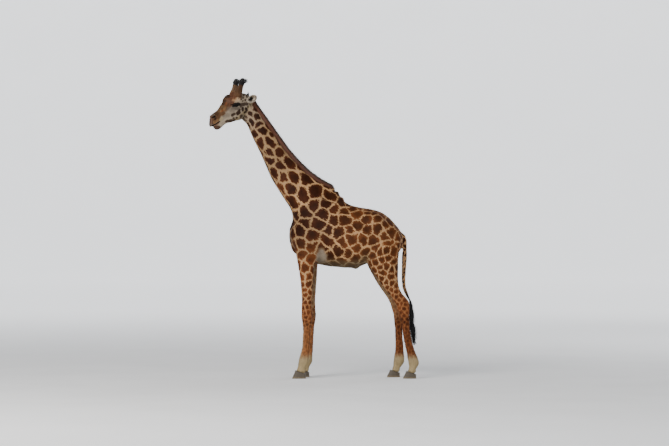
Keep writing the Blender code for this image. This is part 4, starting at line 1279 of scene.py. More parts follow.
class Tree:
    """Short ways to add nodes and join them."""

    def __init__(self, tree):
        self.tree = tree

    def add(self, kind, inputs=(), **values):
        node = self.tree.nodes.new(kind)
        for key, value in values.items():
            setattr(node, key, value)
        for key, value in dict(inputs).items():
            self.feed(node.inputs[key], value)
        return node

    def feed(self, socket, value):
        if isinstance(value, bpy.types.NodeSocket):
            self.tree.links.new(value, socket)
        else:
            socket.default_value = value

    def math(self, operation, *values, clamp=False):
        node = self.tree.nodes.new("ShaderNodeMath")
        node.operation = operation
        node.use_clamp = clamp
        for socket, value in zip(node.inputs, values):
            self.feed(socket, value)
        return node.outputs[0]

    def attribute(self, name, output="Vector"):
        return self.add("ShaderNodeAttribute", attribute_name=name).outputs[output]

    def parts(self, vector):
        return self.add("ShaderNodeSeparateXYZ", {"Vector": vector}).outputs

    def noise(self, vector, scale, detail=2.0, roughness=0.5):
        node = self.add("ShaderNodeTexNoise", {"Vector": vector, "Scale": scale, "Detail": detail,
                                               "Roughness": roughness})
        return node.outputs["Fac"]

    def stretched(self, vector, turn, scale):
        node = self.add("ShaderNodeMapping", {"Vector": vector, "Rotation": turn, "Scale": scale})
        return node.outputs["Vector"]

    def blend(self, share, first, second, mode="MIX"):
        node = self.tree.nodes.new("ShaderNodeMix")
        node.data_type = "RGBA"
        node.blend_type = mode
        self.feed(node.inputs["Factor"], share)
        self.feed(node.inputs[6], first)
        self.feed(node.inputs[7], second)
        return node.outputs[2]

    def range(self, value, low, high, to_low=0.0, to_high=1.0):
        node = self.add("ShaderNodeMapRange", {"Value": value, "From Min": low, "From Max": high,
                                               "To Min": to_low, "To Max": to_high},
                        interpolation_type="SMOOTHSTEP")
        return node.outputs["Result"]


def new_group(name, inputs, outputs):
    """A shader node group with named sockets, and its input and output nodes."""
    group = bpy.data.node_groups.new(name, "ShaderNodeTree")
    for label, kind, default in inputs:
        socket = group.interface.new_socket(name=label, in_out="INPUT", socket_type=kind)
        socket.default_value = default
    for label, kind in outputs:
        group.interface.new_socket(name=label, in_out="OUTPUT", socket_type=kind)
    return group, group.nodes.new("NodeGroupInput"), group.nodes.new("NodeGroupOutput")


def marking_group():
    """The coat's colour: patches on their ground, with ragged edges and darker middles."""
    known = bpy.data.node_groups.get("giraffe_markings")
    if known:
        return known
    group, start, end = new_group(
        "giraffe_markings",
        (("Edge", "NodeSocketFloat", 0.035), ("Ragged", "NodeSocketFloat", 0.24)),
        (("Colour", "NodeSocketColor"), ("Patch", "NodeSocketFloat")))
    tree = Tree(group)
    near = [*tree.parts(tree.attribute("near_a")), *tree.parts(tree.attribute("near_b"))]
    nearest = tree.math("MINIMUM", near[0], near[1])
    second = tree.math("MAXIMUM", near[0], near[1])
    for value in near[2:]:
        second = tree.math("MINIMUM", second, tree.math("MAXIMUM", nearest, value))
        nearest = tree.math("MINIMUM", nearest, value)
    gap, strength, streak = tree.parts(tree.attribute("style"))
    place = tree.attribute("place")
    lobes = tree.add("ShaderNodeTexVoronoi", {"Vector": place, "Scale": 25.0}).outputs["Distance"]
    lobes = tree.math("SUBTRACT", 0.54, lobes)
    fine = tree.math("SUBTRACT", tree.noise(place, 60.0, 3.0, 0.65), 0.5)
    ragged = tree.math("ADD", lobes, tree.math("MULTIPLY", fine, 1.1))
    ragged = tree.math("MULTIPLY", ragged, start.outputs["Ragged"])
    inner = tree.math("SUBTRACT", second, nearest)
    cleft = tree.add("ShaderNodeTexVoronoi", {"Vector": place, "Scale": 9.0},
                     feature="DISTANCE_TO_EDGE").outputs["Distance"]
    cleft = tree.math("MULTIPLY", tree.range(cleft, 0.0, 0.055, 1.0, 0.0),
                      tree.range(inner, 0.50, 0.22))
    ragged = tree.math("SUBTRACT", ragged, tree.math("MULTIPLY", cleft, 0.17))
    ragged = tree.math("MULTIPLY", ragged, tree.range(inner, 0.0, 0.14))
    above = tree.math("SUBTRACT", tree.math("ADD", inner, ragged), gap)
    patch = tree.math("DIVIDE", above, start.outputs["Edge"])
    patch = tree.range(patch, 0.0, 1.0)
    patch = tree.math("MULTIPLY", patch, strength)
    clouded = tree.math("MULTIPLY_ADD", tree.noise(place, 13.0, 3.0), 0.5, tree.math("SUBTRACT", nearest, 0.25))
    middle = tree.range(clouded, 0.05, 0.45, 0.58, 1.18)
    mottle = tree.range(tree.noise(place, 28.0, 3.0, 0.6), 0.30, 0.70, 0.86, 1.14)
    shade = tree.math("MULTIPLY", middle, mottle)
    patch_colour = tree.blend(1.0, tree.attribute("patch", "Color"), shade, "MULTIPLY")
    broad = tree.range(tree.noise(place, 5.0, 2.0), 0.30, 0.70, 0.93, 1.07)
    ground = tree.blend(1.0, tree.attribute("ground", "Color"), broad, "MULTIPLY")
    lines = tree.noise(tree.stretched(place, (0.0, 0.6, 0.0), (60.0, 60.0, 9.0)), 1.0, 2.0, 0.6)
    lines = tree.range(lines, 0.35, 0.65, 0.66, 1.20)
    lined = tree.blend(streak, (1.0, 1.0, 1.0, 1.0), lines)
    colour = tree.blend(patch, ground, patch_colour)
    colour = tree.blend(1.0, colour, lined, "MULTIPLY")
    tree.feed(end.inputs["Colour"], colour)
    tree.feed(end.inputs["Patch"], patch)
    return group


def new_material(name, roughness, **constants):
    """A material whose Principled shader has its constant values set."""
    material = bpy.data.materials.new(name)
    material.use_nodes = True
    tree = Tree(material.node_tree)
    shader = material.node_tree.nodes["Principled BSDF"]
    shader.inputs["Roughness"].default_value = roughness
    for key, value in constants.items():
        shader.inputs[key.replace("_", " ")].default_value = value
    return material, tree, shader


def add_bump(tree, shader, height, distance, strength=1.0):
    bump = tree.add("ShaderNodeBump", {"Height": height, "Distance": distance, "Strength": strength})
    tree.feed(shader.inputs["Normal"], bump.outputs["Normal"])


def skin_material():
    """Short flat hair seen as a whole: colour, a soft sheen and the grain of the coat."""
    material, tree, shader = new_material("short_coat", 0.72, Specular_IOR_Level=0.08)
    marks = tree.add("ShaderNodeGroup", node_tree=marking_group()).outputs
    place = tree.attribute("place")
    hair = tree.noise(tree.stretched(place, (0.0, 0.45, 0.0), (420.0, 420.0, 70.0)), 1.0, 2.0, 0.6)
    tint = tree.range(hair, 0.3, 0.7, 0.84, 1.14)
    tree.feed(shader.inputs["Base Color"], tree.blend(1.0, marks["Colour"], tint, "MULTIPLY"))
    tree.feed(shader.inputs["Roughness"], tree.range(hair, 0.3, 0.7, 0.80, 0.62))
    clumps = tree.noise(place, 90.0, 3.0, 0.6)
    height = tree.math("ADD", hair, tree.math("MULTIPLY", clumps, 1.2))
    add_bump(tree, shader, height, 0.0012, 0.8)
    return material


def strand_group():
    """The change of tone from strand to strand and from root to tip."""
    known = bpy.data.node_groups.get("strand_tone")
    if known:
        return known
    group, start, end = new_group(
        "strand_tone",
        (("Root", "NodeSocketFloat", 0.82), ("Tip", "NodeSocketFloat", 1.10),
         ("Change", "NodeSocketFloat", 0.22)),
        (("Tone", "NodeSocketFloat"), ("Along", "NodeSocketFloat")))
    tree = Tree(group)
    chance, along, _ = tree.parts(tree.attribute("strand"))
    rise = tree.math("SUBTRACT", start.outputs["Tip"], start.outputs["Root"])
    tone = tree.math("MULTIPLY_ADD", along, rise, start.outputs["Root"])
    change = tree.math("MULTIPLY", tree.math("SUBTRACT", chance, 0.5), start.outputs["Change"])
    tree.feed(end.inputs["Tone"], tree.math("ADD", tone, change))
    tree.feed(end.inputs["Along"], along)
    return group


def tuft_material():
    """Tufts with the same markings as the skin below them."""
    known = bpy.data.materials.get("coat_tufts")
    if known:
        return known
    material, tree, shader = new_material("coat_tufts", 0.62, Specular_IOR_Level=0.10)
    marks = tree.add("ShaderNodeGroup", node_tree=marking_group()).outputs
    tone = tree.add("ShaderNodeGroup", {"Root": 0.86, "Tip": 1.08, "Change": 0.22},
                    node_tree=strand_group()).outputs["Tone"]
    tree.feed(shader.inputs["Base Color"], tree.blend(1.0, marks["Colour"], tone, "MULTIPLY"))
    grain = tree.noise(tree.add("ShaderNodeTexCoord").outputs["Object"], 900.0, 1.0)
    tree.feed(shader.inputs["Roughness"], tree.range(grain, 0.3, 0.7, 0.70, 0.54))
    return material


def hair_material(name, root, tip, roughness=0.45):
    """Long or stiff hair that changes colour from root to tip."""
    material, tree, shader = new_material(name, roughness, Specular_IOR_Level=0.30)
    group = tree.add("ShaderNodeGroup", {"Root": 0.8, "Tip": 1.1, "Change": 0.5},
                     node_tree=strand_group())
    base = tree.blend(tree.range(group.outputs["Along"], 0.45, 0.95),
                      (*root, 1.0), (*tip, 1.0))
    tree.feed(shader.inputs["Base Color"], tree.blend(1.0, base, group.outputs["Tone"], "MULTIPLY"))
    grain = tree.noise(tree.add("ShaderNodeTexCoord").outputs["Object"], 700.0, 1.0)
    tree.feed(shader.inputs["Roughness"],
              tree.range(grain, 0.3, 0.7, roughness + 0.08, roughness - 0.08))
    return material


# ---------------------------------------------------------------- strands and tufts

def strands_mesh(name, spines, sides, widths, chance):
    """Joined flat strands: spines (count, rows, 3) run root to tip and the last row is a point."""
    count, rows, _ = spines.shape
    half = 0.5 * widths[..., None] * sides
    left, right = spines[:, :-1] - half[:, :-1], spines[:, :-1] + half[:, :-1]
    pairs = np.stack((left, right), axis=2).reshape(count, 2 * (rows - 1), 3)
    points = np.concatenate((pairs, spines[:, -1:]), axis=1)
    faces = []
    for row in range(rows - 2):
        a, b, c, d = 2 * row, 2 * row + 1, 2 * row + 3, 2 * row + 2
        faces += [(a, b, c), (a, c, d)]
    faces.append((2 * rows - 4, 2 * rows - 3, 2 * rows - 2))
    per = 2 * rows - 1
    triangles = np.array(faces)[None] + per * np.arange(count)[:, None, None]
    mesh = mesh_of_triangles(name, points.reshape(-1, 3), triangles.reshape(-1, 3))
    along = np.repeat(np.linspace(0, 1, rows), 2)[:per]
    tone = np.repeat(chance.uniform(0, 1, count), per)
    set_attribute(mesh, "strand", "FLOAT_VECTOR",
                  np.stack((tone, np.tile(along, count), np.zeros(count * per)), axis=1))
    return mesh, per, np.array(faces)


def write_patches(mesh, per, faces, centres, rows):
    """Gives each strand a small patch of the bake map, at its root's place on the skin's unwrap."""
    across = np.tile((-0.5, 0.5), rows - 1)
    along = np.repeat(np.linspace(-0.5, 0.5, rows), 2)[:per]
    across = np.append(across, 0.0)[:per]
    corners = BAKE_PATCH * np.stack((across, along), axis=1)
    spots = np.clip(centres, 0.6 * BAKE_PATCH, 1 - 0.6 * BAKE_PATCH)
    places = spots[:, None, None, :] + corners[faces][None]
    layer = mesh.uv_layers.new(name=BAKE_MAP)
    layer.data.foreach_set("uv", places.astype(np.float32).ravel())


class Hide:
    """The finished skin as arrays, to root hair on."""

    def __init__(self):
        mesh = bpy.data.objects["skin"].data
        self.points = read_points(mesh)
        self.triangles = read_triangles(mesh)
        self.normals = point_normals(self.points, self.triangles)
        self.fields = {name: get_attribute(mesh, name) for name in
                       ("near_a", "near_b", "ground", "patch", "style", "lie", "coat")}
        flat = np.empty(len(mesh.loops) * 2, dtype=np.float32)
        mesh.uv_layers[BAKE_MAP].data.foreach_get("uv", flat)
        self.map = flat.reshape(-1, 3, 2)
        a, b, c = (self.points[self.triangles[:, side]] for side in range(3))
        self.area = 0.5 * np.linalg.norm(np.cross(b - a, c - a), axis=1)
        self.middle = (a + b + c) / 3
        self.tree = BVHTree.FromPolygons(self.points.tolist(), self.triangles.tolist())

    def map_at(self, places):
        """The unwrap's place for the skin nearest to each of some places."""
        found = np.array([self.tree.find_nearest(place)[2] for place in places.tolist()])
        return self.map[found].mean(axis=1)

    def rooted(self, chosen, chance):
        """Random places on the chosen triangles, with everything that the skin knows there."""
        first, second = chance.random(len(chosen)), chance.random(len(chosen))
        over = first + second > 1
        first[over], second[over] = 1 - first[over], 1 - second[over]
        shares = np.stack((1 - first - second, first, second), axis=1)
        corners = self.triangles[chosen]

        def at(values):
            return np.einsum("ij,ijk->ik", shares, values[corners])

        found = {name: at(values) for name, values in self.fields.items()}
        found["place"] = at(self.points)
        found["normal"] = unit(at(self.normals))
        found["map"] = np.einsum("ij,ijk->ik", shares, self.map[chosen])
        return found


# ---------------------------------------------------------------- coat

COAT_PARTS = (   # piece, the nodes it grows on, how far back it starts and ends, its tufts
    ("coat_head", ("head", *EARS, *OSSICONES, *EYES), -9, 9, 60000),
    ("coat_neck", ("neck",), -9, 9, 62000),
    ("coat_shoulders", ("trunk",), -9, 0.42, 63000),
    ("coat_rump", ("trunk",), 0.42, 9, 63000),
    ("coat_forelegs", LEGS[:2], -9, 9, 58000),
    ("coat_hindlegs", (*LEGS[2:], "tail"), -9, 9, 63000),
)
MARKING_FIELDS = (("near_a", "FLOAT_VECTOR"), ("near_b", "FLOAT_VECTOR"), ("ground", "FLOAT_COLOR"),
                  ("patch", "FLOAT_COLOR"), ("style", "FLOAT_VECTOR"), ("place", "FLOAT_VECTOR"))


def picked_roots(hide, weight, count, chance):
    """Random roots on the skin, more of them where weight is greater."""
    share = hide.area * weight
    chosen = chance.choice(len(share), size=count, p=share / share.sum())
    return hide.rooted(chosen, chance)


def swept(root, way, length, lift, rows, droop=0.0):
    """Strands that leave the skin, bend to lie along it and end a little above it."""
    steps = np.linspace(0, 1, rows)
    start = root["place"] - 0.0006 * root["normal"]
    rise = np.sin(0.5 * math.pi * np.minimum(1.5 * steps, 1.0))
    spines = (start[:, None] + way[:, None] * (steps[None, :, None] * length[:, None, None])
              + root["normal"][:, None] * (rise[None, :, None] * lift[:, None, None]))
    spines[:, :, 2] -= droop * length[:, None] * steps[None] ** 2
    return spines


def laid_flat(way, normal):
    return unit(way - dot(way, normal)[:, None] * normal)


def tapered(width, rows):
    """Widths that narrow to a point."""
    return width[:, None] * np.sqrt(np.maximum(1 - np.linspace(0, 1, rows) ** 2, 0))[None]


def grow_coat(hide, mine, name, count, chance):
    """Tufts that lie along the coat over some parts of the skin, thin and overlapping."""
    fine = hide.fields["coat"][hide.triangles].mean(axis=1)
    weight = np.where(mine & (fine[:, 2] < 0.3), 1 + 3.0 * fine[:, 0], 0.0)
    root = picked_roots(hide, weight, count, chance)
    small, depth = root["coat"][:, 0], root["coat"][:, 1]
    way = laid_flat(root["lie"], root["normal"])
    way = laid_flat(way + 0.16 * chance.standard_normal((count, 3)), root["normal"])
    length = sizes().tuft_length + (sizes().fine_length - sizes().tuft_length) * small
    width = sizes().tuft_width + (sizes().fine_width - sizes().tuft_width) * small
    length = length * chance.uniform(0.75, 1.25, count)
    width = width * chance.uniform(0.8, 1.2, count)
    spines = swept(root, way, length, depth * chance.uniform(0.40, 0.95, count), 3)
    widths = np.stack((width, 0.9 * width, 0 * width), axis=1)
    return strand_piece(name, spines, np.cross(way, root["normal"]), widths, chance, root["map"],
                        tuft_material(), "coat", root)


def strand_piece(name, spines, sides, widths, chance, places, material, slot, root=None):
    """One finished piece of many strands, each with its own patch of the bake map."""
    if sides.ndim == 2:
        sides = np.repeat(sides[:, None], spines.shape[1], axis=1)
    mesh, per, faces = strands_mesh(name, spines, sides, widths, chance)
    write_patches(mesh, per, faces, places, spines.shape[1])
    if root:
        for field, kind in MARKING_FIELDS:
            set_attribute(mesh, field, kind, np.repeat(root[field], per, axis=0))
    return finish_piece(link(name, mesh), material, slot)


def along_route(route, share):
    """The columns of a route's rows, read at shares of its length."""
    route = np.array(route, dtype=float)
    steps = np.linalg.norm(np.diff(route[:, :2], axis=0), axis=1)
    marks = np.concatenate(((0.0,), np.cumsum(steps))) / steps.sum()
    return np.stack([np.interp(share, marks, column) for column in route.T], axis=-1)


def grow_mane(hide, chance):
    """A stiff brush along the crest of the neck, dark along its outer edge."""
    count, rows = sizes().mane_strands, 5
    share = chance.uniform(0.0, 1.0, count)
    route = along_route([(*outer, *inner) for outer, inner in MANE_ROUTE], share)
    aside = chance.uniform(-1.0, 1.0, count)
    half = 0.012 + 0.004 * share
    outer = np.stack((route[:, 0], 0.9 * half * aside, route[:, 1]), axis=1)
    inner = np.stack((route[:, 2], half * aside, route[:, 3]), axis=1)
    clump = 0.5 + 0.5 * np.sin(share * 410 + 3 * np.sin(share * 97) + 2.0 * aside)
    reach = chance.uniform(1.10, 1.26, count) - 0.08 * clump - 0.12 * aside ** 2
    reach *= 1 - 0.35 * ramp(share, 0.97, 1.0) - 0.25 * ramp(share, 0.03, 0.0)
    backwards = unit(along_route([(*outer, *inner) for outer, inner in MANE_ROUTE],
                                 np.clip(share + 0.02, 0, 1))[:, :2] - route[:, :2] + 1e-6)
    lean = 0.012 * chance.standard_normal(count) + 0.010
    spines = np.empty((count, rows, 3))
    for row, step in enumerate(np.linspace(0, 1, rows)):
        spines[:, row] = inner + (outer - inner) * (step * reach)[:, None]
        spines[:, row, 0] += backwards[:, 0] * lean * step ** 2
        spines[:, row, 2] += backwards[:, 1] * lean * step ** 2
    turn = chance.uniform(-0.9, 0.9, count)
    sides = np.stack((np.cos(turn) * backwards[:, 0], np.sin(turn), np.cos(turn) * backwards[:, 1]),
                     axis=1)
    width = np.full(count, 0.0026) * chance.uniform(0.7, 1.3, count)
    piece = strand_piece("mane_hair", spines, sides, tapered(width, rows), chance,
                         hide.map_at(inner), hair_material("mane_hair", colours().mane,
                                                           colours().mane_edge), "mane_hair")
    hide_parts("mane")


def grow_tail_hair(hide, chance):
    """Long dark waved strands that hang from the end of the tail."""
    count, rows = sizes().tail_strands, 14
    start = 0.42 * chance.random(count) ** 1.6
    end = np.clip(start + chance.uniform(0.35, 0.95, count), 0.35, 1.0)
    angle = chance.uniform(0, 2 * math.pi, count)
    spread = np.sqrt(chance.uniform(0, 1, count))
    phase = chance.uniform(0, 2 * math.pi, count)
    lock = np.floor(angle * 2.2) * 1.7
    stray = 1 + 1.7 * (chance.random(count) < 0.20)
    curl = 0.005 * stray ** 2 * chance.uniform(0.5, 1.3, count)
    spines = np.empty((count, rows, 3))
    for row, step in enumerate(np.linspace(0, 1, rows)):
        share = start + (end - start) * step
        x, z, depth, half = along_route(TAIL_TUFT_ROUTE, share).T
        out = spread * (0.35 + 0.65 * min(2.5 * step, 1.0)) * (1 + 0.3 * (stray - 1) * step)
        wave = curl * np.sin(17 * share + lock) * step + 0.002 * np.sin(29 * share + phase) * step
        spines[:, row, 0] = x + np.cos(angle) * out * depth + wave
        spines[:, row, 1] = np.sin(angle) * out * half + 0.7 * wave
        spines[:, row, 2] = z
    sides = np.stack((np.cos(phase), np.sin(phase), 0 * phase), axis=1)
    width = 0.0028 * chance.uniform(0.7, 1.3, count)
    root_places = np.tile((1.432, 0.0, 1.20), (count, 1))
    piece = strand_piece("tail_hair", spines, sides, tapered(width, rows), chance,
                         hide.map_at(root_places + 0.01 * chance.standard_normal((count, 3))),
                         hair_material("tail_hair", colours().dark_hair, colours().dark_hair, 0.38),
                         "dark_hair")
    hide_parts("tail_tuft")


def grow_horn_hair(hide, owner, chance):
    """Dark brushes over the tips of the horns, with a lock blown back on each."""
    along = ossicone_share(to_head(hide.middle))
    mine = np.isin(owner, [NODE_ORDER.index(name) for name in OSSICONES])
    count, rows = 6500, 5
    root = picked_roots(hide, mine * ramp(along, 0.60, 0.74), count, chance)
    upward, backward = head_direction(((0.30, 0.0, 0.95), (1.0, 0.0, -0.15)))
    rear = np.clip(dot(root["normal"], backward), 0, 1)
    high = ramp(ossicone_share(to_head(root["place"])), 0.75, 0.98)
    lock = (chance.random(count) < 0.5) * ramp(rear, 0.3, 0.7) * ramp(high, 0.0, 0.3) * ramp(high, 1.0, 0.8)
    way = unit(laid_flat(np.tile(upward, (count, 1)), root["normal"]) + 0.30 * high[:, None] * upward
               + 0.12 * root["normal"] + (1.3 * lock + 0.15 * high)[:, None] * backward
               + 0.14 * chance.standard_normal((count, 3)))
    length = 0.012 * chance.uniform(0.6, 1.3, count) + 0.016 * high + 0.050 * lock
    spines = swept(root, way, length, 0.002 * np.ones(count), rows, 0.10)
    strand_piece("horn_hair", spines, np.cross(way, root["normal"]),
                 tapered(0.0026 * np.ones(count), rows), chance, root["map"],
                 hair_material("horn_hair", colours().dark_hair, colours().dark_hair, 0.5),
                 "dark_hair")


def grow_ear_hair(hide, owner, chance):
    """Pale hair inside the ears and along their rims."""
    axes = ear_axes()
    for name in EARS:
        root_place, way, front = axes[name]
        mine = owner == NODE_ORDER.index(name)
        hollow = ear_hollow(name, hide.middle)
        normals = unit(hide.normals[hide.triangles].mean(axis=1))
        rim = np.exp(-((hollow - 1.15) / 0.25) ** 2) * ramp(normals @ front, -0.1, 0.3)
        if name == "ear_right":
            rim *= ramp((hide.middle - root_place) @ way / 0.195, 0.55, 0.40)
        count, rows = 3000, 4
        root = picked_roots(hide, mine * rim, count, chance)
        inward = unit(root_place + 0.085 * way - root["place"])
        lean = unit(0.9 * way + 0.7 * inward + 0.30 * front + 0.15 * chance.standard_normal((count, 3)))
        length = 0.024 * chance.uniform(0.4, 1.2, count)
        spines = swept(root, lean, length, 0.004 * np.ones(count), rows)
        strand_piece(f"hair_of_{name}", spines, unit(np.cross(lean, root["normal"])),
                     tapered(0.0012 * np.ones(count), rows), chance, root["map"],
                     hair_material(f"hair_of_{name}", colours().ear_hair, colours().ear_hair, 0.6), "coat")


# ---------------------------------------------------------------- eyes

def eye_material():
    """A wet dark eye: a wide pupil lying level in a brown iris."""
    material, tree, shader = new_material("wet_eye", 0.08, Coat_Weight=0.2, Coat_Roughness=0.02,
                                          Specular_IOR_Level=0.15)
    forward, up, out = tree.parts(tree.attribute("gaze"))
    level = tree.math("POWER", tree.math("DIVIDE", forward, 0.44), 2.0)
    tall = tree.math("POWER", tree.math("DIVIDE", up, 0.27), 2.0)
    pupil = tree.range(tree.math("ADD", level, tall), 0.75, 1.15)
    across = tree.math("SQRT", tree.math("ADD", tree.math("POWER", forward, 2.0),
                                         tree.math("POWER", up, 2.0)))
    rays = tree.noise(tree.attribute("gaze"), 14.0, 3.0)
    iris = tree.blend(rays, (*colours().iris, 1.0), (*[0.45 * part for part in colours().iris], 1.0))
    inner = tree.blend(pupil, (0.003, 0.003, 0.004, 1.0), iris)
    rim = tree.range(across, 0.62, 0.76)
    tree.feed(shader.inputs["Base Color"], tree.blend(rim, inner, (*colours().lid, 1.0)))
    return material


def build_eyes():
    """Two smooth eyeballs with a raised cornea, under the lids."""
    material = eye_material()
    radius = eye_radius()
    for name in EYES:
        centre, outward, forward, upward = eye_frame(name)
        deselect_all()
        bpy.ops.mesh.primitive_uv_sphere_add(segments=48, ring_count=32, radius=radius)
        ball = bpy.context.object
        ball.name = name.replace("eye", "eyeball")
        bpy.ops.object.shade_smooth()
        local = unit(read_points(ball.data)) * radius
        share = np.linalg.norm(local[:, :2], axis=1) / radius
        cornea = np.where(local[:, 2] > 0, np.exp(-(share / 0.55) ** 4), 0.0)
        local *= (1 + 0.045 * cornea)[:, None] * 0.985
        basis = np.stack((forward, upward, outward))
        if np.linalg.det(basis) < 0:
            local[:, 0] *= -1
            flipped = True
        else:
            flipped = False
        gaze = local / radius
        write_points(ball.data, local @ basis + centre)
        set_attribute(ball.data, "gaze", "FLOAT_VECTOR", gaze)
        if flipped:
            local[:, 0] *= 1
        bm = bmesh.new()
        bm.from_mesh(ball.data)
        bmesh.ops.recalc_face_normals(bm, faces=bm.faces)
        bm.to_mesh(ball.data)
        bm.free()
        finish_piece(ball, material, "eye", name)


def grow_lashes(hide, chance):
    """Long dark lashes that fall over the upper lid, and short ones below."""
    radius = eye_radius()
    spines, sides = [], []
    for name in EYES:
        centre, outward, forward, upward = eye_frame(name)
        half_width, half_height = EYE_OPENING
        for above, count, reach in ((1, 150, 0.030), (-1, 70, 0.012)):
            for _ in range(count):
                share = chance.uniform(-0.92, 0.92)
                across = share * half_width
                tall = half_height * (1 - 0.35 * share ** 2) * math.sqrt(1 - share ** 2)
                tall *= 1.16 if above > 0 else 0.94
                lift = above * tall
                root_way = (math.cos(lift) * (math.cos(across) * outward + math.sin(across) * forward)
                            + math.sin(lift) * upward)
                root = centre + root_way * (radius + 0.0022)
                sweep = 0.75 * outward + (0.55 * share + 0.12) * forward + above * 0.10 * upward
                sweep = unit(sweep + 0.10 * chance.standard_normal(3))
                length = reach * chance.uniform(0.7, 1.15)
                droop = -0.45 * upward if above > 0 else -0.25 * upward
                steps = np.linspace(0, 1, 6)[:, None]
                spines.append(root + sweep * length * steps + droop * length * steps ** 2)
                sides.append(unit(np.cross(sweep, upward)))
    spines, sides = np.array(spines), np.array(sides)
    width = np.full(len(spines), 0.0016)
    strand_piece("lashes", spines, sides, tapered(width, 6), chance, hide.map_at(spines[:, 0]),
                 hair_material("lashes", colours().dark_hair, colours().dark_hair, 0.4), "dark_hair")


# ---------------------------------------------------------------- hooves

def horn_material():
    """Hoof horn with growth rings, darker above and scuffed at its edge."""
    material, tree, shader = new_material("hoof_horn", 0.5, Specular_IOR_Level=0.4)
    place = tree.add("ShaderNodeTexCoord").outputs["Object"]
    height = tree.parts(place)[2]
    wander = tree.noise(place, 14.0, 2.0)
    level = tree.math("ADD", tree.math("MULTIPLY", height, 190.0), tree.math("MULTIPLY", wander, 9.0))
    ring = tree.math("SINE", level)
    grain = tree.noise(tree.stretched(place, (0.0, 0.0, 0.0), (300.0, 300.0, 30.0)), 1.0, 3.0)
    scuff = tree.math("MULTIPLY", tree.range(height, 0.035, 0.0), tree.noise(place, 60.0, 3.0))
    horn = (*colours().horn, 1.0)
    base = tree.blend(grain, tuple(0.6 * part for part in horn[:3]) + (1.0,), horn)
    base = tree.blend(scuff, base, (*colours().belly, 1.0))
    tree.feed(shader.inputs["Base Color"], base)
    tree.feed(shader.inputs["Roughness"], tree.range(grain, 0.3, 0.7, 0.42, 0.66))
    height_sum = tree.math("ADD", tree.math("MULTIPLY", ring, 0.5), grain)
    add_bump(tree, shader, height_sum, 0.0009)
    return material


def build_hooves():
    """Smooth claws in place of the faceted ones, flat where they stand."""
    material = horn_material()
    for leg in LEGS:
        names = [name for name in HOOVES if name.startswith(f"hoof_{leg}")]
        bm = remeshed(names, 0.0042)
        bmesh.ops.triangulate(bm, faces=bm.faces)
        mesh = bpy.data.meshes.new(f"hooves_{leg}")
        bm.to_mesh(mesh)
        bm.free()
        points, neighbours = read_points(mesh), Neighbours(mesh)
        sole = points[:, 2] < 0.0035
        fixed = np.where(sole, 0.25, 1.0)
        smooth = neighbours.faired(points, fixed, 25, 0.05)
        smooth[sole, 2] = 0.0
        smooth[:, 2] = np.maximum(smooth[:, 2], 0.0)
        write_points(mesh, smooth)
        mesh.polygons.foreach_set("use_smooth", np.ones(len(mesh.polygons), dtype=bool))
        finish_piece(link(f"hooves_{leg}", mesh), material, "hoof_horn", *names)


# ---------------------------------------------------------------- studio

def floor_material():
    material, tree, shader = new_material("pale_floor", 0.85)
    place = tree.add("ShaderNodeTexCoord").outputs["Object"]
    cloud = tree.range(tree.noise(place, 0.7, 2.0), 0.3, 0.7, 0.98, 1.02)
    base = tree.blend(1.0, (0.80, 0.80, 0.80, 1.0), cloud, "MULTIPLY")
    tree.feed(shader.inputs["Base Color"], base)
    away = tree.add("ShaderNodeVectorMath", {0: place}, operation="LENGTH").outputs["Value"]
    glow = tree.range(away, 2.0, 28.0)
    tree.feed(shader.inputs["Emission Color"], tree.blend(glow, (0, 0, 0, 1), (0.95, 0.97, 1.0, 1.0)))
    shader.inputs["Emission Strength"].default_value = 1.1
    return material


def add_area_light(name, place, aim, size, power, tint=(1.0, 1.0, 1.0)):
    light = bpy.data.lights.new(name, "AREA")
    light.shape = "DISK"
    light.size = size
    light.energy = power
    light.color = tint
    lamp = bpy.data.objects.new(name, light)
    bpy.context.collection.objects.link(lamp)
    lamp.location = place
    lamp.rotation_mode = "QUATERNION"
    lamp.rotation_quaternion = (Vector(aim) - Vector(place)).to_track_quat("-Z", "Y")
    return lamp


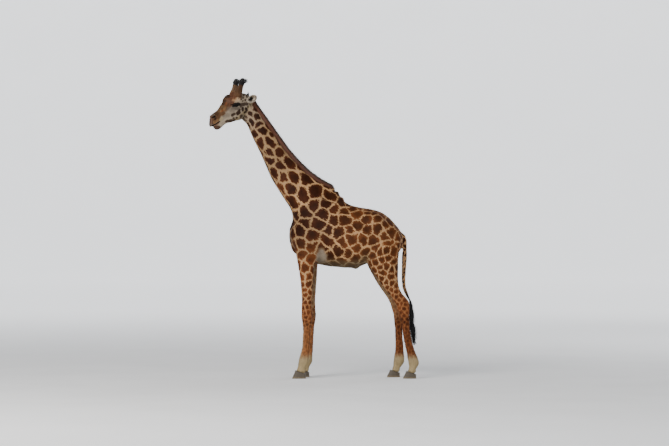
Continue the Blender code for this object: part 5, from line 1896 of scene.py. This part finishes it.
def build_studio():
    values = studio()
    deselect_all()
    radius, rise, steps = 52.0, 22.0, 10
    bpy.ops.mesh.primitive_circle_add(vertices=96, radius=radius, fill_type="NGON")
    floor = bpy.context.object
    floor.name = "studio_floor"
    bm = bmesh.new()
    bm.from_mesh(floor.data)
    rim = [edge for edge in bm.edges if edge.is_boundary]
    for step in range(1, steps + 1):
        turn, last = (math.radians(90 / steps * number) for number in (step, step - 1))
        wide = (radius + rise * math.sin(turn)) / (radius + rise * math.sin(last))
        made = bmesh.ops.extrude_edge_only(bm, edges=rim)["geom"]
        corners = [item for item in made if isinstance(item, bmesh.types.BMVert)]
        for corner in corners:
            corner.co.x *= wide
            corner.co.y *= wide
            corner.co.z += rise * (math.cos(last) - math.cos(turn))
        rim = [item for item in made if isinstance(item, bmesh.types.BMEdge)]
    bmesh.ops.recalc_face_normals(bm, faces=bm.faces)
    bm.to_mesh(floor.data)
    bm.free()
    bpy.ops.object.shade_smooth()
    floor.data.materials.append(floor_material())
    middle = (0.0, 0.0, 2.3)
    add_area_light("key_light", (-7.5, -11.0, 11.0), middle, 9.0, values.key_power, (1.0, 0.97, 0.93))
    add_area_light("fill_light", (9.0, 10.0, 9.0), middle, 9.0, values.fill_power, (0.95, 0.97, 1.0))
    world = bpy.data.worlds.new("pale_room")
    world.use_nodes = True
    sky = world.node_tree.nodes["Background"]
    sky.inputs["Color"].default_value = (0.93, 0.96, 1.0, 1.0)
    sky.inputs["Strength"].default_value = values.air
    bpy.context.scene.world = world
    lens = bpy.data.cameras.new("camera")
    lens.sensor_width = 36.0
    lens.lens = 36.0 * values.distance / values.view_width
    lens.clip_end = 500.0
    camera = bpy.data.objects.new("camera", lens)
    bpy.context.collection.objects.link(camera)
    camera.location = (values.camera_side, -values.distance, values.camera_height)
    camera.rotation_euler = (math.radians(90) - values.tilt, 0.0, 0.0)
    bpy.context.scene.camera = camera


# ---------------------------------------------------------------- add-on

class GIRAFFE_OT_skin(bpy.types.Operator):
    """Build the skin over the whole body, with its relief, lids, nostrils and markings."""

    bl_idname = "giraffe.build_skin"
    bl_label = "Build Skin"

    def execute(self, context):
        build_skin()
        return {"FINISHED"}


class GIRAFFE_OT_coat(bpy.types.Operator):
    """Grow the short coat over the skin."""

    bl_idname = "giraffe.grow_coat"
    bl_label = "Grow Coat"

    def execute(self, context):
        hide = Hide()
        owner = nearest_nodes(hide.middle)
        chance = np.random.default_rng(21)
        for name, nodes, front, back, count in COAT_PARTS:
            mine = (np.isin(owner, [NODE_ORDER.index(node) for node in nodes])
                    & (hide.middle[:, 0] >= front) & (hide.middle[:, 0] < back))
            grow_coat(hide, mine, name, count, chance)
        return {"FINISHED"}


class GIRAFFE_OT_hair(bpy.types.Operator):
    """Grow the mane, the tail's hair, the horns' brushes, the ears' hair and the lashes."""

    bl_idname = "giraffe.grow_hair"
    bl_label = "Grow Mane and Long Hair"

    def execute(self, context):
        hide = Hide()
        owner = nearest_nodes(hide.middle)
        chance = np.random.default_rng(34)
        grow_mane(hide, chance)
        grow_tail_hair(hide, chance)
        grow_horn_hair(hide, owner, chance)
        grow_ear_hair(hide, owner, chance)
        grow_lashes(hide, chance)
        return {"FINISHED"}


class GIRAFFE_OT_eyes(bpy.types.Operator):
    """Build the eyeballs."""

    bl_idname = "giraffe.build_eyes"
    bl_label = "Build Eyes"

    def execute(self, context):
        build_eyes()
        return {"FINISHED"}


class GIRAFFE_OT_hooves(bpy.types.Operator):
    """Build the smooth cloven hooves."""

    bl_idname = "giraffe.build_hooves"
    bl_label = "Build Hooves"

    def execute(self, context):
        build_hooves()
        return {"FINISHED"}


class GIRAFFE_OT_studio(bpy.types.Operator):
    """Build the floor, lights and camera."""

    bl_idname = "giraffe.build_studio"
    bl_label = "Build Studio"

    def execute(self, context):
        build_studio()
        return {"FINISHED"}


OPERATORS = (GIRAFFE_OT_skin, GIRAFFE_OT_eyes, GIRAFFE_OT_hooves, GIRAFFE_OT_coat, GIRAFFE_OT_hair,
             GIRAFFE_OT_studio)


class GIRAFFE_PT_panel(bpy.types.Panel):
    """The pieces of the giraffe, in the order that they are built."""

    bl_label = "Giraffe"
    bl_idname = "GIRAFFE_PT_panel"
    bl_space_type = "VIEW_3D"
    bl_region_type = "UI"
    bl_category = "Giraffe"

    def draw(self, context):
        layout = self.layout
        for operator in OPERATORS:
            layout.operator(operator.bl_idname)
        for label, group in (("Sizes", context.scene.giraffe_sizes),
                             ("Colours", context.scene.giraffe_colours),
                             ("Studio", context.scene.giraffe_studio)):
            box = layout.box()
            box.label(text=label)
            for name in type(group).__annotations__:
                box.prop(group, name)


GROUPS = (("giraffe_colours", GiraffeColours), ("giraffe_sizes", GiraffeSizes),
          ("giraffe_studio", GiraffeStudio))


def register():
    for name, group in GROUPS:
        bpy.utils.register_class(group)
        setattr(bpy.types.Scene, name, PointerProperty(type=group))
    for operator in OPERATORS:
        bpy.utils.register_class(operator)
    bpy.utils.register_class(GIRAFFE_PT_panel)


def unregister():
    bpy.utils.unregister_class(GIRAFFE_PT_panel)
    for operator in reversed(OPERATORS):
        bpy.utils.unregister_class(operator)
    for name, group in reversed(GROUPS):
        delattr(bpy.types.Scene, name)
        bpy.utils.unregister_class(group)


def main():
    register()
    for operator in OPERATORS:
        part, name = operator.bl_idname.split(".")
        getattr(getattr(bpy.ops, part), name)()


if __name__ == "__main__":
    main()
